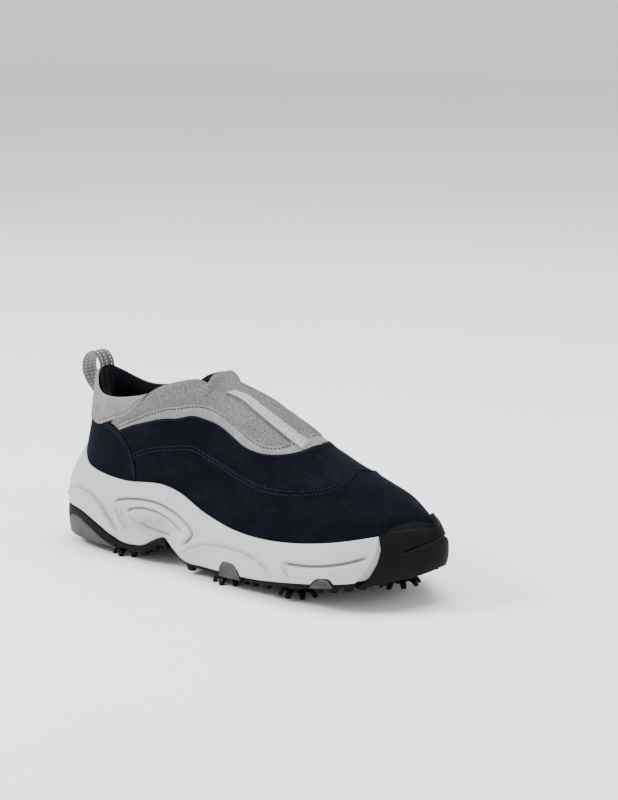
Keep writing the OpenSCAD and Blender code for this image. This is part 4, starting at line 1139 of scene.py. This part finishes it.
# Grey inserts.
def crescentFace(side, extra):
    # Follows the outline between the heel's underside and the crescent line, lower at its edge.
    t = np.linspace(0.93, 2.87, 90)[:, None]
    k = np.linspace(0, 1, 22)[None, :]
    t, k, s = [np.array(a, float) for a in np.broadcast_arrays(t, k, side)]
    z0, z1 = heelLow(t) + 0.15, along(form["crescentZ"], t, 0.9, 2.9) - 0.15
    edge = np.minimum(np.minimum(k, 1 - k) * (z1 - z0), np.minimum(t - 0.93, 2.87 - t) * 34)
    ledge = -0.8 * (1 - ease(edge / 1.0)) + 0.35 * ease((k - 0.62) / 0.1)
    inset = 1.9 - k * 0.5 + extra - (ledge if extra == 0 else 0)
    return inside(t, s, inset, z0 + (z1 - z0) * k)


for name, sd in (("lateral", lateral), ("medial", medial)):
    shell("heelInsert." + name, crescentFace(sd, 0.0), crescentFace(sd, 4.4), finishes["tpu"],
          replaces=["heel_insert_" + name], slot="grey_tpu")

inserts = {"rear": {"t": 5.66, "long": 0.52, "high": 0.34, "top": 0.6},
           "front": {"t": 7.66, "long": 0.46, "high": 0.17, "top": 0.5}}


def insertFace(spec, side, grow, out):
    # Rounded, tapering patch of the sole's wall with two lines pressed round inside its edge.
    a, b = np.linspace(-1, 1, 61)[:, None], np.linspace(0, 1, 41)[None, :]
    a, b = np.broadcast_arrays(a, b)
    taper = 1 - (1 - spec["top"]) * b**1.2
    corner = np.sqrt(np.clip(1 - np.clip((b - 0.75) / 0.25, 0, 1) ** 3 * 0.45, 0, 1))
    t = spec["t"] + a * (spec["long"] / 2 + grow * 0.02) * taper * corner + 0.03 * b
    w = -0.09 + (spec["high"] + 0.09 + grow * 0.016) * b * (1 - 0.1 * np.abs(a) ** 4)
    edge = np.minimum((1 - np.abs(a)) * spec["long"] * 18, (1 - b) * spec["high"] * 26)
    shape = out - 0.9 * (1 - ease(edge / 0.9)) - 0.35 * bell(edge - 2.4, 0.45) - 0.3 * bell(edge - 4.4, 0.45)
    return wall(t, w, side, -(shape if out > 0 else out + 0 * a))


parts = []
for name, spec in inserts.items():
    for label, sd in (("lateral", lateral), ("medial", medial)):
        shell(f"sideInsert.{label}.{name}", insertFace(spec, sd, 0, 1.3), insertFace(spec, sd, 0, -3.5),
              finishes["tpu"], replaces=[f"side_insert_{label}_{name}"], slot="grey_tpu")
        points, faces, _ = shellData(insertFace(spec, sd, 1.6, 0.75), insertFace(spec, sd, 1.6, -3.0))
        parts.append((points, faces.tolist()))
# black rubber rims round the inserts: partly the outsole's tabs, partly a dark part standing in for the
# shadow in the gap round each insert
build("insertSurrounds", *joined(parts), finishes["rubber"], slot="black_rubber")
print("outsoles and inserts made")

# Spikes.
spike = {"legs": 8, "height": 6.0, "gap": 0.3,  # a leg's middle line is mm out and mm up
         "path": [[5.5, 4.5], [8.0, 4.6], [10.2, 4.1], [11.8, 2.7], [12.7, 1.2], [13.1, 0.3], [13.15, 0.0]],
         "wide": [4.3, 4.3, 4.2, 4.0, 3.8, 3.5, 3.0], "thick": [2.7, 2.7, 2.7, 2.6, 2.5, 2.3, 1.9],
         "lug": [(3.5, 8.3), (6.2, 8.3), (6.4, 8.5), (6.4, 9.5), (6.2, 9.7), (3.5, 9.7)]}


def spikeParts():
    # A turned hub, legs squared in section round a curved path, two lugs and two tool holes.
    a = np.linspace(0, 2 * np.pi, 65)[:-1]
    top = spike["height"] - spike["gap"]
    profile = [(2.6, 1.3), (3.3, 1.45), (3.8, 1.9), (4.0, 2.6), (4.6, 3.0), (7.2, 3.1), (8.4, 3.35),
               (8.9, 3.9), (9.0, 4.6), (8.8, 5.3), (8.3, top - 0.02), (4.5, top), (4.5, top + 2.6)]
    g = np.array([[(r * math.cos(q), r * math.sin(q), z) for q in a] for r, z in profile])
    parts = [loftMesh(g)]
    u = np.linspace(0, 1, 16)
    c = along(spike["path"], u, 0, 1, False)
    size = along(np.stack([spike["wide"], spike["thick"]], -1), u, 0, 1, False)
    d = unit(np.gradient(c, axis=0))
    q = np.linspace(0, 2 * np.pi, 17)[:-1]
    squared = lambda x: np.sign(x) * np.abs(x) ** 0.55  # a circle drawn out towards a square
    broad, deep = squared(np.cos(q)) / 2, squared(np.sin(q)) / 2
    n = np.stack([-d[:, 1], d[:, 0]], -1)
    x = c[:, 0:1] + n[:, 0:1] * size[:, 1:2] * deep
    z = np.maximum(c[:, 1:2] + n[:, 1:2] * size[:, 1:2] * deep, 0)
    y = size[:, 0:1] * broad + 0 * x
    leg = np.stack([x, y, z], -1)
    parts += [loftMesh(turned(leg, 2 * np.pi * i / spike["legs"])) for i in range(spike["legs"])]
    for i in range(2):  # two lugs that lock over the socket's ledge
        s = np.radians(np.linspace(-20, 20, 9)) + math.pi * i
        lug = [[(r * math.cos(k), r * math.sin(k), high) for r, high in spike["lug"]] for k in s]
        parts.append(loftMesh(np.array(lug)))
    for i in range(2):  # tool holes' rims
        s = np.linspace(0, 2 * np.pi, 13)[:-1]
        cx, cy = 2.2 * math.cos(math.pi * i), 2.2 * math.sin(math.pi * i)
        rim = np.array([[(cx + r * math.cos(k), cy + r * math.sin(k), z) for k in s]
                        for r, z in ((0.95, 1.5), (0.95, 1.0), (0.6, 1.0), (0.6, 1.6))])
        parts.append(loftMesh(rim))
    return joined(parts)


spikePoints, spikeFaces = spikeParts()
for name, (x, y, z, slope) in places.items():
    p = tilted(spikePoints + [0, 0, z - spike["height"]], slope, [x, y, 0])
    build("spike." + name, p, spikeFaces, finishes["spike"], body="spike_" + name, replaces=["spike_" + name],
          slot="black_tpu", sharp=35)
print("spikes made")

# Floor, light and camera.
studio = {"floor": 6.0, "camera": (0.8339, -1.0557, 0.4045), "look": (-0.5818, 0.7863, -0.2079), "lens": 90}
mesh = bpy.data.meshes.new("floor")
f = studio["floor"]
mesh.from_pydata([(-f, -f, 0), (f, -f, 0), (f, f, 0), (-f, f, 0)], [], [(0, 1, 2, 3)])
floor = bpy.data.objects.new("floor", mesh)
bpy.context.scene.collection.objects.link(floor)
floorFinish = Finish("paleFloor", **{"Roughness": 0.8, "Specular IOR Level": 0.2})
paleStops = [(0.3, (0.93, 0.93, 0.93)), (0.7, (0.96, 0.96, 0.96))]
floorFinish.colour(floorFinish.ramp(floorFinish.noise(3, 2), paleStops))
mesh.materials.append(floorFinish.material)

world = bpy.data.worlds.new("studioWorld")
bpy.context.scene.world = world
world.use_nodes = True
world.node_tree.nodes["Background"].inputs[0].default_value = (0.97, 0.98, 1.0, 1)
world.node_tree.nodes["Background"].inputs[1].default_value = 0.97


def softBox(name, place, aim, size, power):  # a rectangular light that faces its aim
    light = bpy.data.lights.new(name, "AREA")
    light.shape, light.size, light.size_y, light.energy = "RECTANGLE", size[0], size[1], power
    lamp = bpy.data.objects.new(name, light)
    lamp.location = place
    lamp.rotation_euler = (Vector(aim) - Vector(place)).to_track_quat("-Z", "Y").to_euler()
    bpy.context.scene.collection.objects.link(lamp)


softBox("keyLight", (-1.2, -1.05, 1.5), (0, 0, 0.05), (0.8, 0.7), 52)
softBox("fillLight", (1.9, -0.5, 1.1), (0, 0, 0.05), (1.2, 1.2), 10)
softBox("topLight", (0.1, 0.3, 2.2), (0, 0, 0), (1.6, 1.6), 62)

cameraData = bpy.data.cameras.new("camera")
cameraData.lens, cameraData.sensor_width = studio["lens"], 36
camera = bpy.data.objects.new("camera", cameraData)
camera.location = studio["camera"]
camera.rotation_euler = Vector(studio["look"]).to_track_quat("-Z", "Y").to_euler()
bpy.context.scene.collection.objects.link(camera)
bpy.context.scene.camera = camera

print("scene ready")
